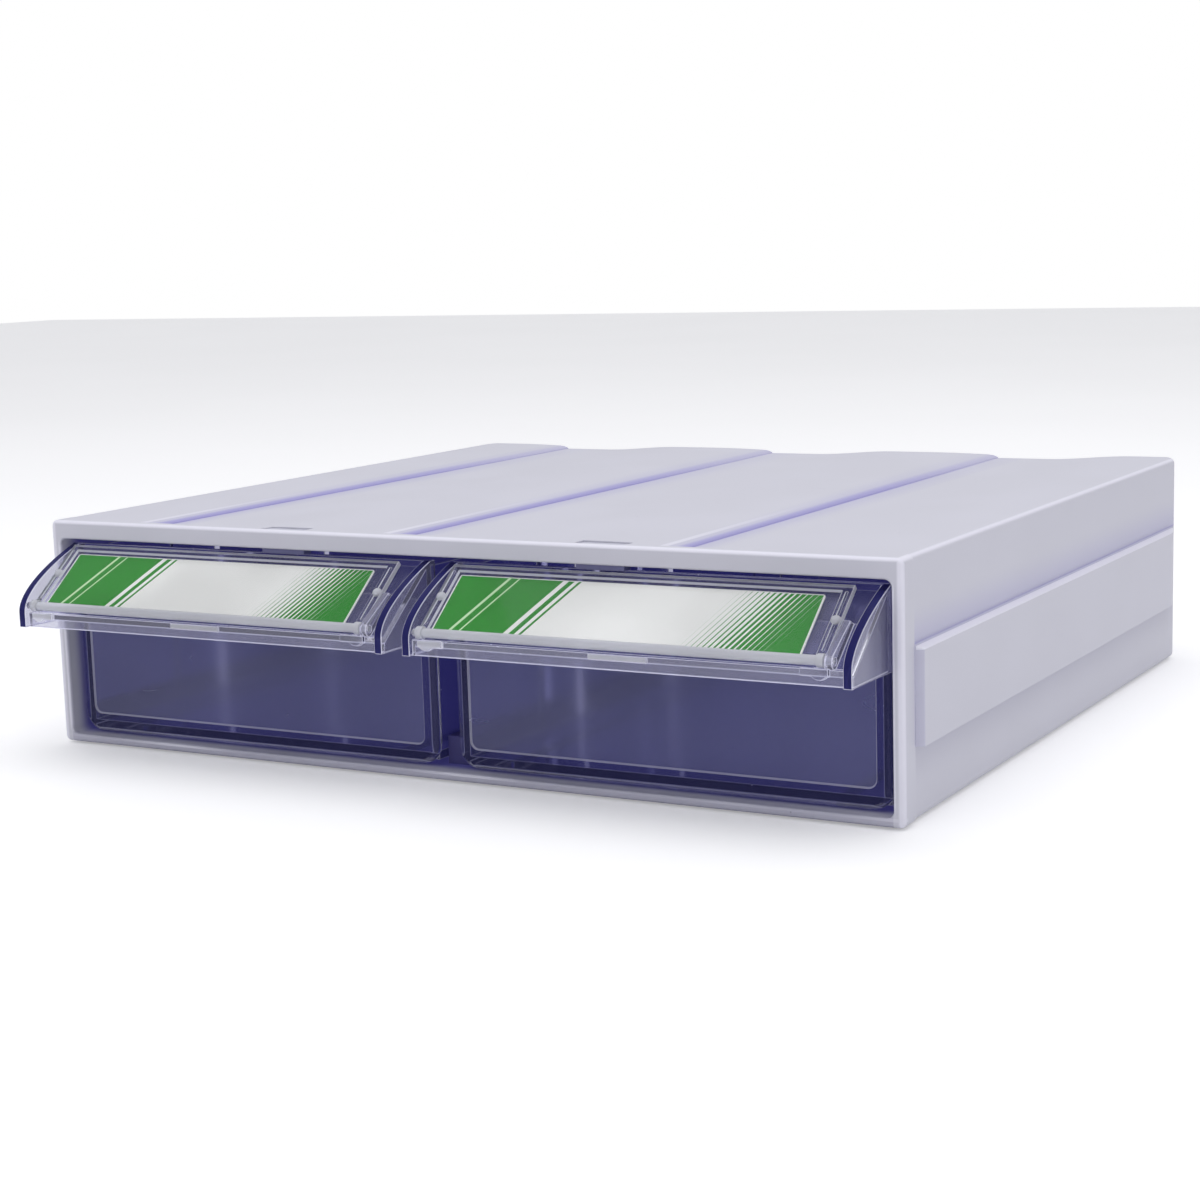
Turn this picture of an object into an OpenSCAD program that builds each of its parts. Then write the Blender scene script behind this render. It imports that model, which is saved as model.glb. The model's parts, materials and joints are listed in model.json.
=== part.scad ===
// Desktop CD storage drawer: one wide, low moulded case with two clear drawers side by side.
// Each drawer has a sloped label visor that doubles as its pull, with a paper card under a
// hinged clear cover. X runs across the front, +Y to the rear, +Z up. The origin is on the
// surface that the case stands on, under the middle of the case.

/* [Case] */
// Width of the case at its front collar
case_w = 340; // [320:1:400]
// Depth of the case from front to back
case_d = 310; // [290:1:380]
// Height of the case, with the ridges that it stands on
case_h = 85; // [78:1:120]
// Thickness of the case walls at the front opening
wall_t = 4; // [3:0.5:6]
// How far the side panels lie back from the front collar
panel_setback = 0.8; // [0.4:0.1:1.5]
// Depth of the front collar and of the header over the drawers
collar_d = 9; // [8:0.5:16]
// Height of the header over the drawers
header_h = 6.8; // [5:0.2:10]
// Thickness of the top panel behind the header
top_t = 4; // [3.5:0.5:6]
// Thickness of the case floor
floor_t = 3; // [2:0.5:5]
// Thickness of the back panel
back_t = 3; // [2:0.5:5]
// Radius of the case's long outer edges
case_r = 4; // [2:0.5:6]
// Radius of the two upright rear corners
rear_r = 6; // [4:0.5:10]
// Radius in the corners of the front opening
opening_r = 2.5; // [1:0.5:4]

/* [Stacking channels and ridges] */
// Spacing of the three channels in the top
channel_pitch = 108; // [92:1:110]
// Distance from the case's middle to the foot of the middle channel's steep side, leftwards
channel_shift = 17; // [15:0.5:19]
// Width of a channel's flat floor
channel_w = 22; // [20:1:24]
// Width of the slope from a channel's floor back up to the top
channel_ramp = 38; // [20:1:40]
// Depth of a channel
channel_depth = 1.9; // [1:0.1:2.2]
// Width over which the top falls gently towards a channel's steep side
fall_w = 28; // [10:1:28]
// How far the top falls there before the steep side
fall_depth = 0.4; // [0.2:0.1:0.8]
// Width of the round steep side of a channel
shoulder_w = 6; // [1:0.5:8]
// Distance from the front face to the start of the channels
channel_start = 4; // [2:0.5:8]
// Height of the ridges under the floor
ridge_h = 0.8; // [0.6:0.1:1.5]
// Sideways clearance between a ridge and the channel of a case below
ridge_gap = 1; // [0.5:0.1:2]
// Distance from a ridge's ends to the front and back of the case
ridge_end = 10; // [5:1:40]

/* [Side strips] */
// Height of the lower edge of the raised side strip above the ground
strip_z = 25; // [15:1:30]
// Height of the side strip where it joins the wall
strip_h = 32; // [20:1:40]
// How far the strip stands out past the front collar
strip_proud = 2.6; // [1.5:0.1:4]
// Width of the bevel along the strip's upper edge and front end
strip_bevel = 2.8; // [1:0.1:4]

/* [Drawers] */
// Gap between a drawer front and the side wall
side_gap = 2; // [1:0.1:4]
// Gap between the two drawer fronts
centre_gap = 8; // [6:0.5:14]
// Distance from the front of the case back to the drawer fronts
front_recess = 5; // [3:0.5:8]
// Thickness of a drawer front
front_t = 3; // [2.5:0.1:5]
// Gap between the header and the top of a drawer front
top_gap = 2.2; // [2:0.1:4]
// Radius of a drawer front's lower corners
front_r = 8; // [4:0.5:14]
// Radius of the rounding around a drawer front's lower edge
front_round = 2.4; // [1:0.1:2.5]
// Gap between the bottom of a drawer front and the case floor
front_gap = 0.4; // [0.3:0.1:1]
// How far the drawer's body lies in from the ends of its front
body_inset = 1.5; // [1:0.1:3]
// Thickness of the drawer's side and rear walls
tray_wall = 2.2; // [1.6:0.1:3]
// Thickness of the drawer's floor
tray_floor = 2.5; // [1.8:0.1:4]
// Distance from the top of a drawer front down to the drawer's side walls
rim_drop = 2; // [1:0.5:10]
// Inside length, for two rows of disc cases 125 mm deep
inner_len = 254; // [200:1:270]
// Gap between the drawer's tails and the back panel
rear_gap = 0.5; // [0.3:0.1:3]
// Margin of the clear pane at the sides of a drawer front
pane_margin = 5.5; // [4:0.5:10]
// Margin of the clear pane at the bottom of a drawer front
pane_foot = 7.3; // [4:0.1:12]
// Radius of the pane's corners
pane_r = 3; // [1:0.5:5]
// Depth of the pane's face below its border
pane_depth = 0.7; // [0.3:0.1:1]
// Radius of the upright ribs inside the drawer's walls
rib_r = 1.3; // [0.8:0.1:2]
// Distance from the top of the ribs to the top of the drawer's side walls
rib_drop = 4; // [1:0.5:20]

/* [Guides and stops] */
// Height of the rails that the drawers run on
rail_h = 1.7; // [1:0.1:4]
// Width of a rail
rail_w = 3; // [2:0.5:6]
// Distance from the middle of a drawer to each of its rails
rail_offset = 61; // [40:1:70]
// Gap between a closed drawer front and the ends of the rails
rail_setback = 0.5; // [0.3:0.1:4]
// Running clearance between a drawer and its rails
run_gap = 0.3; // [0.2:0.05:0.6]
// Sideways clearance between a drawer's body and its guides
guide_gap = 1; // [0.5:0.1:1.4]
// Height of the side and centre guides
guide_h = 10; // [6:1:20]
// Distance from the front face to the start of the guides
guide_start = 12; // [10:1:30]
// Gap between the header and the rear wall of a drawer
catch_gap = 0.5; // [0.3:0.1:0.8]
// Distance from the middle of the case to each stop clip
clip_x = 64; // [50:1:100]
// Distance from the front face to the middle of a stop clip
clip_y = 5.1; // [4.6:0.1:5.6]
// Width of a stop clip's head
clip_w = 18; // [12:1:24]
// Depth of a stop clip's head, front to back
clip_d = 5.4; // [4:0.2:6.4]
// Thickness of a stop clip's head
clip_t = 1.1; // [0.8:0.1:1.3]
// How far the head lies below the top of the case
clip_sunk = 0.5; // [0.3:0.1:0.8]
// Clearance around the head in its pocket
clip_gap = 0.3; // [0.1:0.1:0.5]
// Thickness of the stem that passes through the header
stem_t = 2.4; // [1.6:0.1:3]
// Clearance around the stem in its slot
stem_gap = 0.1; // [0.05:0.05:0.3]
// Depth of a stop clip's foot, front to back
foot_d = 4.4; // [3.6:0.1:5]
// How far the foot lies forward of the head's middle
foot_lead = 0.9; // [0:0.1:1.2]
// How far the foot hangs below the header
foot_h = 1.8; // [1:0.1:1.9]

/* [Label visor] */
// How far the visor reaches forward of the case
visor_reach = 26; // [18:1:34]
// Height of the visor's end cheeks
visor_h = 27; // [24:0.5:34]
// Thickness of the end cheeks
cheek_t = 3; // [2.6:0.1:4]
// Height of the straight nose at the front of a cheek
nose_h = 5.5; // [3:0.5:8]
// Thickness of the label plate and of its front lip
plate_t = 2; // [1.5:0.1:3]
// Height of the label plate's front edge above the bottom of the visor
plate_rise = 3.93; // [3.5:0.01:4.2]
// How far the front lip lies behind the cheeks
lip_setback = 2; // [1:0.5:4]
// Height of the front lip
lip_h = 5.2; // [4.4:0.1:5.6]
// Width of the raised pad in the middle of the lip
pad_w = 21; // [10:1:40]
// Height of the pad
pad_h = 2; // [1:0.1:4]
// How far the pad stands out from the lip
pad_proud = 0.8; // [0.4:0.1:1]
// Width of the pad under each end of the cover's bar
end_pad_w = 9.4; // [7:0.1:14]
// Height of the straight part of an end pad
end_pad_h = 2.5; // [1.5:0.1:3]
// Radius of the round lobe at the outer end of an end pad
lobe_r = 3.1; // [2:0.1:3.2]
// How far the lobe hangs below the top of the end pad
lobe_drop = 3.6; // [3.3:0.1:4]
// How far an end pad stands out from the lip
end_pad_proud = 1.3; // [0.6:0.1:1.6]
// How far an end pad reaches above the lip
end_pad_rise = 0.4; // [0.2:0.1:0.5]

/* [Label card] */
// Thickness of the paper card
card_t = 0.4; // [0.2:0.1:0.6]
// Distance from the left cheek to the card
card_margin = 4.8; // [3:0.1:8]
// Distance from the card's right edge to the right end of the cover
card_end_gap = 9.2; // [3:0.1:40]
// Distance from the card's upper edge to the upper edge of the cover
card_top_gap = 3.1; // [1.5:0.1:8]
// Gap between the card's lower edge and the cover's bar
card_foot_gap = 0.2; // [0.1:0.1:2]

/* [Label cover] */
// Clearance between the cover and the card
cover_gap = 0.3; // [0.2:0.05:0.6]
// Thickness of the cover's window
cover_t = 1.4; // [1:0.1:2]
// Height of the cover's raised rim above its window
rim_h = 0.6; // [0.3:0.1:1]
// Width of the rim along the cover's two ends
rim_w = 3.5; // [2.5:0.1:4]
// Width of the rim along the cover's upper edge
rim_top_w = 2.8; // [1.5:0.1:4]
// Width of the groove along each end rim
groove_w = 1; // [0.5:0.1:1.5]
// Depth of the groove along each end rim
groove_depth = 0.4; // [0.2:0.1:0.8]
// Clearance between the swinging cover and the lower front edge of the header
swing_gap = 0.74; // [0.5:0.02:3]
// Gap between the cover and the left cheek
cover_side_gap = 1.3; // [0.6:0.1:2]
// Space kept for the hinge post between the cover and the right cheek
post_space = 7; // [5:0.1:10]
// Gap between the cover and the hinge post
post_gap = 0.6; // [0.3:0.1:1]
// Thickness of the hinge post
post_t = 2.6; // [2:0.1:3]
// Thickness of the post around its bore
boss_wall = 1.5; // [1:0.1:2]
// How far the post's low rib stands above the hinge axis
post_rib_rise = 0.6; // [0:0.1:1]
// Length of the low rib that runs up the slope from the hinge post
post_rib = 16; // [4:0.5:20]
// Distance of the hinge axis up the slope from the foot of the label plate
axis_up = 3.4; // [3.2:0.1:5]
// Diameter of the bar along the cover's lower edge
bar_d = 3.2; // [2.6:0.1:3.6]
// Gap between the bar and the label plate
bar_gap = 0.4; // [0.3:0.1:1]
// Diameter of the cover's hinge knuckles
knuckle_d = 4.4; // [3.8:0.1:5]
// Width of a hinge knuckle
knuckle_w = 2.5; // [2:0.1:4]
// Clearance around a knuckle in its notch
knuckle_gap = 0.4; // [0.3:0.1:0.6]
// Diameter of the cover's hinge pins
pin_d = 2.2; // [1.6:0.1:2.4]
// Running clearance around a hinge pin, on the radius
pin_gap = 0.08; // [0.05:0.01:0.1]
// Depth of the pin's bore in the left cheek
bore_depth = 2.2; // [1.5:0.1:2.4]
// Gap between the end of a pin and the bottom of its bore
pin_end_gap = 0.3; // [0.1:0.1:0.5]
// Radius of the grip knobs on the cover's two end rims
knob_r = 1.7; // [1.2:0.1:2]
// Distance of the grip knobs up the slope from the hinge axis
knob_up = 16; // [8:0.5:18]

/* [Hidden] */
$fn = 48;
eps = 0.01;

// Levels above the ground
floor_z = ridge_h + floor_t;
foot_z = floor_z + front_gap;
opening_z = case_h - header_h;
tray_z = floor_z + rail_h + run_gap;
front_z = opening_z - top_gap;
visor_z = front_z - visor_h;
rim_z = front_z - rim_drop;

// Widths
inner_w = case_w - 2 * wall_t;
panel_w = case_w - 2 * panel_setback;
drawer_w = (inner_w - 2 * side_gap - centre_gap) / 2;
drawer_pitch = drawer_w + centre_gap;

// Places along Y, from the front face of the case
front_y = front_recess;
tray_inner_y = front_y + front_t;
rear_wall_y = tray_inner_y + inner_len;
tail_y = case_d - back_t - rear_gap;

// Upright ribs inside a drawer, measured back from the inside of its front
rib_places = [49, 76, 150];

// Label plate: a plane that rises from the visor's front to the top of the drawer front.
// A point near it is given by its distance up the slope and its lift above the plate.
lip_y = lip_setback - visor_reach;
plate_z = visor_z + plate_rise;
slope = atan((front_z - plate_z) / (front_y - lip_y));
function on_slope(up, lift) = [
    lip_y + up * cos(slope) - lift * sin(slope),
    plate_z + up * sin(slope) + lift * cos(slope)];

// Hinge axis of the cover. Its upper edge swings just clear of the header's lower front edge.
axis_lift = bar_d / 2 + bar_gap;
axis_yz = on_slope(axis_up, axis_lift);
cover_end = axis_up + norm([0, opening_z] - axis_yz) - swing_gap;
cover_x0 = cheek_t + cover_side_gap;
cover_x1 = drawer_w - cheek_t - post_space;
post_x = cover_x1 + post_gap;

// ---- shared shapes ----

// A flat rectangle with round corners, standing on its lower edge
module round_rect(w, h, r) {
    translate([-w / 2 + r, 0]) square([w - 2 * r, h]);
    translate([-w / 2, r]) square([w, h - 2 * r]);
    for (sx = [-1, 1], z = [r, h - r])
        translate([sx * (w / 2 - r), z]) circle(r);
}

// Carries a front-view outline along Y from y0 to y1
module along_y(y0, y1) {
    translate([0, y1, 0]) rotate([90, 0, 0]) linear_extrude(y1 - y0) children();
}

// Carries a side-view outline, drawn as (y, z), along X from x0 to x1
module along_x(x0, x1) {
    translate([x0, 0, 0]) rotate([90, 0, 90]) linear_extrude(x1 - x0) children();
}

module block(x0, x1, y0, y1, z0, z1) {
    translate([x0, y0, z0]) cube([x1 - x0, y1 - y0, z1 - z0]);
}

// Draws its children on both sides of the case
module both_sides() {
    children();
    mirror([1, 0, 0]) children();
}

// Puts parts drawn from the front face of the case onto the origin under its middle
module seated() {
    translate([0, -case_d / 2, 0]) children();
}

// Moves a drawer's parts, drawn from the left end of its front, to its bay
module in_bay(side) {
    seated() translate([side * drawer_pitch / 2 - drawer_w / 2, 0, 0]) children();
}

// ---- case ----

// Plan outline of the case: square at the front, round at the two rear corners
module case_plan(w) {
    translate([-w / 2, 0]) square([w, case_d - rear_r]);
    translate([-w / 2 + rear_r, 0]) square([w - 2 * rear_r, case_d]);
    for (sx = [-1, 1])
        translate([sx * (w / 2 - rear_r), case_d - rear_r]) circle(rear_r);
}

module case_outer() {
    body_h = case_h - ridge_h;
    along_y(0, collar_d) translate([0, ridge_h]) round_rect(case_w, body_h, case_r);
    intersection() {
        along_y(0, case_d) translate([0, ridge_h]) round_rect(panel_w, body_h, case_r);
        linear_extrude(case_h) case_plan(panel_w);
    }
}

// The room inside: the framed opening, and the taller space behind the header
module case_inside() {
    along_y(-eps, case_d - back_t)
        translate([0, floor_z]) round_rect(inner_w, opening_z - floor_z, opening_r);
    along_y(collar_d, case_d - back_t)
        translate([0, floor_z]) round_rect(inner_w, case_h - top_t - floor_z, opening_r);
}

// Front-view outline of one channel, from the foot of its steep side: the top falls gently
// from the left and rounds over into the steep side, then come a flat floor and a long
// S-shaped slope back up
module channel_outline() {
    steps = 8;
    floor_level = case_h - channel_depth;
    over = case_h + top_t;
    fall = [for (i = [0 : steps / 2 - 1]) let (t = 2 * i / steps)
        [-fall_w + t * (fall_w - shoulder_w), case_h - fall_depth * t * t]];
    shoulder = [for (i = [0 : steps]) let (a = 90 * i / steps)
        [-shoulder_w * (1 - sin(a)), floor_level + (channel_depth - fall_depth) * cos(a)]];
    slope_up = [for (i = [0 : steps]) let (t = i / steps)
        [channel_w + channel_ramp * t, floor_level + channel_depth * (1 - cos(180 * t)) / 2]];
    polygon(concat([[-fall_w, over]], fall, shoulder, slope_up,
                   [[channel_w + channel_ramp, over]]));
}

// Raised strip along one side, with bevels on its upper edge and front end
module side_strip() {
    face_x = case_w / 2 + strip_proud;
    rear_y = case_d - rear_r;
    hull() {
        block(panel_w / 2 - wall_t / 4, panel_w / 2, collar_d, rear_y,
              strip_z, strip_z + strip_h);
        block(face_x - eps, face_x, collar_d + strip_bevel, rear_y - strip_bevel,
              strip_z, strip_z + strip_h - strip_bevel);
    }
}

// A stop clip's pocket and slot in the header, or with no gaps the clip itself. The head
// and the stem share one outline, and the foot below the header is wider than the stem.
module clip_head(gap, z1) {
    block(-clip_w / 2 - gap, clip_w / 2 + gap, clip_y - clip_d / 2 - gap,
          clip_y + clip_d / 2 + gap, case_h - clip_sunk - clip_t, z1);
}

module clip_stem(gap) {
    block(-clip_w / 3 - gap, clip_w / 3 + gap, clip_y - stem_t / 2 - gap,
          clip_y + stem_t / 2 + gap, opening_z - eps, case_h - clip_sunk - clip_t + eps);
}

module stop_clip(side) {
    foot_y = clip_y - foot_lead;
    color("gainsboro") seated() translate([side * clip_x, 0, 0]) {
        clip_head(0, case_h - clip_sunk);
        clip_stem(0);
        block(-clip_w / 2, clip_w / 2, foot_y - foot_d / 2, foot_y + foot_d / 2,
              opening_z - foot_h, opening_z);
    }
}

// Rails, guides and stacking ridges
module case_runners() {
    run_end = case_d - back_t + eps;
    side_guide_w = side_gap + body_inset - guide_gap;
    centre_guide_w = centre_gap + 2 * (body_inset - guide_gap);
    both_sides() {
        for (k = [-1, 1])
            translate([drawer_pitch / 2 + k * rail_offset, 0, 0])
                block(-rail_w / 2, rail_w / 2, tray_inner_y + rail_setback, run_end,
                      floor_z - eps, floor_z + rail_h);
        block(inner_w / 2 - side_guide_w, inner_w / 2 + eps, guide_start, run_end,
              floor_z - eps, floor_z + guide_h);
    }
    block(-centre_guide_w / 2, centre_guide_w / 2, guide_start, run_end,
          floor_z - eps, floor_z + guide_h);
    for (k = [-1, 0, 1])
        translate([k * channel_pitch - channel_shift, 0, 0])
            block(ridge_gap, channel_w - ridge_gap, ridge_end, case_d - ridge_end,
                  0, ridge_h + eps);
}

module case_shell() {
    color("lavender") seated() {
        difference() {
            union() {
                case_outer();
                both_sides() side_strip();
            }
            case_inside();
            for (k = [-1, 0, 1])
                translate([k * channel_pitch - channel_shift, 0, 0])
                    along_y(channel_start, case_d + back_t) channel_outline();
            for (side = [-1, 1])
                translate([side * clip_x, 0, 0]) {
                    clip_head(clip_gap, case_h + clip_t);
                    clip_stem(stem_gap);
                }
        }
        case_runners();
    }
}

// ---- drawer ----

// Front-view outline of a drawer front: round lower corners and a straight top
module front_outline(inset) {
    w = drawer_w - 2 * inset;
    h = front_z - foot_z - inset;
    r = front_r - inset;
    translate([drawer_w / 2, foot_z + inset]) {
        translate([-w / 2, r]) square([w, h - r]);
        translate([-w / 2 + r, 0]) square([w - 2 * r, r + eps]);
        for (sx = [-1, 1]) translate([sx * (w / 2 - r), r]) circle(r);
    }
}

// A drawer front: a plate with its lower edge and sides rounded towards the front
module drawer_front() {
    along_y(front_y + front_round, tray_inner_y) front_outline(0);
    hull()
        for (a = [0 : 15 : 90]) {
            y = front_y + front_round * (1 - sin(a));
            along_y(y, y + eps) front_outline(front_round * (1 - cos(a)));
        }
}

// Shallow face of the clear pane, which runs on up behind the visor
module pane_cut() {
    pane_z = foot_z + pane_foot;
    along_y(front_y - eps, front_y + pane_depth)
        translate([drawer_w / 2, pane_z])
            round_rect(drawer_w - 2 * pane_margin, visor_z + visor_h / 2 - pane_z, pane_r);
}

// Drawer body: floor, two side walls that run on past the rear wall as tails, rear wall
module drawer_body() {
    x0 = body_inset;
    x1 = drawer_w - body_inset;
    start_y = tray_inner_y - eps;
    floor_top = tray_z + tray_floor;
    block(x0, x1, start_y, tail_y, tray_z, floor_top);
    block(x0, x0 + tray_wall, start_y, tail_y, tray_z, rim_z);
    block(x1 - tray_wall, x1, start_y, tail_y, tray_z, rim_z);
    block(x0, x1, rear_wall_y, rear_wall_y + tray_wall, tray_z, opening_z - catch_gap);
    for (x = [x0 + tray_wall, x1 - tray_wall], place = rib_places)
        translate([x, tray_inner_y + place, floor_top - eps])
            cylinder(r = rib_r, h = rim_z - rib_drop - floor_top);
}

// Side-view outline of a cheek: straight nose, then one smooth curve up to the front
module cheek_outline() {
    nose = [-visor_reach, visor_z + nose_h];
    tip = [front_y, front_z];
    span = tip - nose;
    bend_a = nose + [0, 0.3 * span[1]];
    bend_b = nose + [0.39 * span[0], 0.68 * span[1]];
    steps = 14;
    curve = [for (i = [0 : steps]) let (t = i / steps, u = 1 - t)
        u * u * u * nose + 3 * u * u * t * bend_a + 3 * u * t * t * bend_b + t * t * t * tip];
    polygon(concat([[tray_inner_y, visor_z], [-visor_reach, visor_z]], curve,
                   [[tray_inner_y, front_z]]));
}

// Side-view outline of the label plate and its front lip
module plate_outline() {
    lip_top = visor_z + lip_h;
    under = plate_t / cos(slope);
    polygon([[lip_y, visor_z], [lip_y, lip_top],
             [lip_y + (lip_top - plate_z) / tan(slope), lip_top],
             [front_y + eps, front_z], [front_y + eps, front_z - under],
             [lip_y + plate_t, plate_z + plate_t * tan(slope) - under],
             [lip_y + plate_t, visor_z]]);
}

// Post that carries the cover's right-hand pin: round at the hinge, with a low rib behind
module hinge_post() {
    boss_r = pin_d / 2 + boss_wall;
    rib_lift = axis_lift + post_rib_rise;
    along_x(post_x, post_x + post_t) {
        translate(axis_yz) circle(boss_r);
        polygon([on_slope(axis_up - boss_r / 2, -plate_t / 2),
                 on_slope(axis_up, axis_lift + boss_r),
                 on_slope(axis_up + post_rib, rib_lift),
                 on_slope(axis_up + post_rib + rib_lift / 2, -plate_t / 2)]);
    }
}

// Pad on the front of the lip under the left end of the cover's bar: a straight part
// towards the middle, and a round lobe at the outer end
module end_pad() {
    z1 = visor_z + lip_h + end_pad_rise;
    along_y(lip_y - end_pad_proud, lip_y + eps) {
        translate([0, z1 - end_pad_h]) square([end_pad_w, end_pad_h]);
        intersection() {
            translate([lobe_r, z1 - lobe_drop + lobe_r]) circle(lobe_r);
            translate([0, z1 - lobe_drop]) square([2 * lobe_r, lobe_drop]);
        }
    }
}

module drawer(side) {
    bore_r = pin_d / 2 + pin_gap;
    color([0.62, 0.62, 0.82, 0.6]) in_bay(side)
        difference() {
            union() {
                difference() {
                    drawer_front();
                    pane_cut();
                }
                drawer_body();
                along_x(0, cheek_t) cheek_outline();
                along_x(drawer_w - cheek_t, drawer_w) cheek_outline();
                along_x(cheek_t - eps, drawer_w - cheek_t + eps) plate_outline();
                block((drawer_w - pad_w) / 2, (drawer_w + pad_w) / 2, lip_y - pad_proud,
                      lip_y + eps, visor_z + lip_h - pad_h, visor_z + lip_h);
                translate([cover_x0 + cover_side_gap, 0, 0]) end_pad();
                translate([post_x + post_t / 2, 0, 0]) mirror([1, 0, 0]) end_pad();
                hinge_post();
            }
            // room for the two knuckles to turn in
            for (x = [cover_x0, cover_x1 - knuckle_w])
                along_x(x - knuckle_gap, x + knuckle_w + knuckle_gap)
                    translate(axis_yz) circle(knuckle_d / 2 + knuckle_gap);
            // pin bores in the left cheek and in the post
            along_x(cheek_t - bore_depth, cheek_t + eps) translate(axis_yz) circle(bore_r);
            along_x(post_x - eps, post_x + post_t + eps) translate(axis_yz) circle(bore_r);
        }
}

// ---- label card and cover ----

// Side-view outline of a bar lying on the slope, between two heights above the label plate
module slope_bar(up0, up1, lift0, lift1) {
    polygon([on_slope(up0, lift0), on_slope(up0, lift1),
             on_slope(up1, lift1), on_slope(up1, lift0)]);
}

module label_card(side) {
    foot = axis_up + bar_d / 2 + card_foot_gap;
    color("honeydew") in_bay(side)
        along_x(cheek_t + card_margin, cover_x1 - card_end_gap)
            slope_bar(foot, cover_end - card_top_gap, 0, card_t);
}

module label_cover(side) {
    under = card_t + cover_gap;
    over = under + cover_t;
    rim = over + rim_h;
    color([0.9, 0.92, 1, 0.5]) in_bay(side) {
        // window, with a raised rim along its upper edge and a grooved one along each end
        along_x(cover_x0, cover_x1) slope_bar(axis_up, cover_end, under, over);
        along_x(cover_x0, cover_x1) slope_bar(cover_end - rim_top_w, cover_end, under, rim);
        for (x = [cover_x0, cover_x1 - rim_w])
            difference() {
                along_x(x, x + rim_w) slope_bar(axis_up, cover_end, under, rim);
                along_x(x + (rim_w - groove_w) / 2, x + (rim_w + groove_w) / 2)
                    slope_bar(axis_up + bar_d, cover_end - rim_top_w,
                              rim - groove_depth, rim + rim_h);
            }
        // bar along the lower edge, with a knuckle and a pin at each end
        translate([0, axis_yz[0], axis_yz[1]]) rotate([0, 90, 0]) {
            translate([0, 0, cover_x0]) cylinder(d = bar_d, h = cover_x1 - cover_x0);
            for (x = [cover_x0, cover_x1 - knuckle_w])
                translate([0, 0, x]) cylinder(d = knuckle_d, h = knuckle_w);
            left_end = cheek_t - bore_depth + pin_end_gap;
            right_end = post_x + post_t - pin_end_gap;
            translate([0, 0, left_end]) cylinder(d = pin_d, h = right_end - left_end);
        }
        // grip knobs on the two end rims
        for (x = [cover_x0 + rim_w / 2, cover_x1 - rim_w / 2]) {
            at = on_slope(axis_up + knob_up, rim - knob_r / 4);
            translate([x, at[0], at[1]]) sphere(knob_r);
        }
    }
}

module left_stop_clip() { stop_clip(-1); }
module right_stop_clip() { stop_clip(1); }
module left_drawer() { drawer(-1); }
module right_drawer() { drawer(1); }
module left_label_card() { label_card(-1); }
module right_label_card() { label_card(1); }
module left_label_cover() { label_cover(-1); }
module right_label_cover() { label_cover(1); }

case_shell();
left_stop_clip();
right_stop_clip();
left_drawer();
right_drawer();
left_label_card();
right_label_card();
left_label_cover();
right_label_cover();
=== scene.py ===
"""Looks of a desktop CD storage drawer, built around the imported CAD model.

A wide, low case of pale lavender plastic holds two clear drawers. Each drawer has a sloped label
visor with a printed card under a hinged clear cover. The classes below build and dress one
sub-assembly each, and main() builds them in order. Sizes in the classes are in millimetres, from
the middle of the case's front face unless a docstring says otherwise, and meshes are in metres.
Masks measure in millimetres from the frame's origin, under the middle of the case.
"""

import json
import logging
import math
from collections.abc import Callable, Sequence
from dataclasses import dataclass
from enum import Enum
from typing import NamedTuple

import bmesh
import bpy
import numpy as np
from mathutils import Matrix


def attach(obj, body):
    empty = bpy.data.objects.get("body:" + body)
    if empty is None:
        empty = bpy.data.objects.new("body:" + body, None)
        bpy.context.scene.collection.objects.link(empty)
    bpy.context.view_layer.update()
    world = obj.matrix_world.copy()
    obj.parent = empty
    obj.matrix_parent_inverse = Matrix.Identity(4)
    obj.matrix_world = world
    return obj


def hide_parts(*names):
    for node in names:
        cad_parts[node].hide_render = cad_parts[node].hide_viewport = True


Colour = tuple[float, float, float]
Corner = tuple[float, float, float]
Material = bpy.types.Material
Node = bpy.types.Node
Piece = bpy.types.Object
Socket = bpy.types.NodeSocket
Mask = Callable[["Wiring"], Socket]

MM = 0.001
QUARTER = math.pi / 2
CRISP_ANGLE = math.radians(32)
SOFTENED_ANGLE = math.radians(35)
FLAT_ANGLE = math.radians(0.4)
SAME_POINT = 0.002 * MM
SLIVER = 0.03 * MM
GRAIN, MARKS = "moulded grain", "handling marks"
BLACK: Colour = (0.0, 0.0, 0.0)
WHITE: Colour = (1.0, 1.0, 1.0)
INDIGO: Colour = (0.5, 0.5, 1.0)
log = logging.getLogger("drawer_case")

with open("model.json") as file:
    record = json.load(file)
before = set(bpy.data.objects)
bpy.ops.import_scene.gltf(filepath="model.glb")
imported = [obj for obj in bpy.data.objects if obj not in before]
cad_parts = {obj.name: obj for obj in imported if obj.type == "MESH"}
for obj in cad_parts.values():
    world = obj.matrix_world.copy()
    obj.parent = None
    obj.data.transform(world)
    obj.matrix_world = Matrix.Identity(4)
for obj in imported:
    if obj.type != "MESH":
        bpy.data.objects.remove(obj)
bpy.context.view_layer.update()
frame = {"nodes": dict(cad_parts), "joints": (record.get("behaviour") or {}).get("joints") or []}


class Side(Enum):
    """The two drawers' sides, with the sign of X on each."""

    LEFT = -1
    RIGHT = 1

    @property
    def word(self) -> str:
        """The side's name, as the frame's nodes and bodies are named."""
        return self.name.lower()


# ---- surfaces ---------------------------------------------------------------------------------


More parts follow.
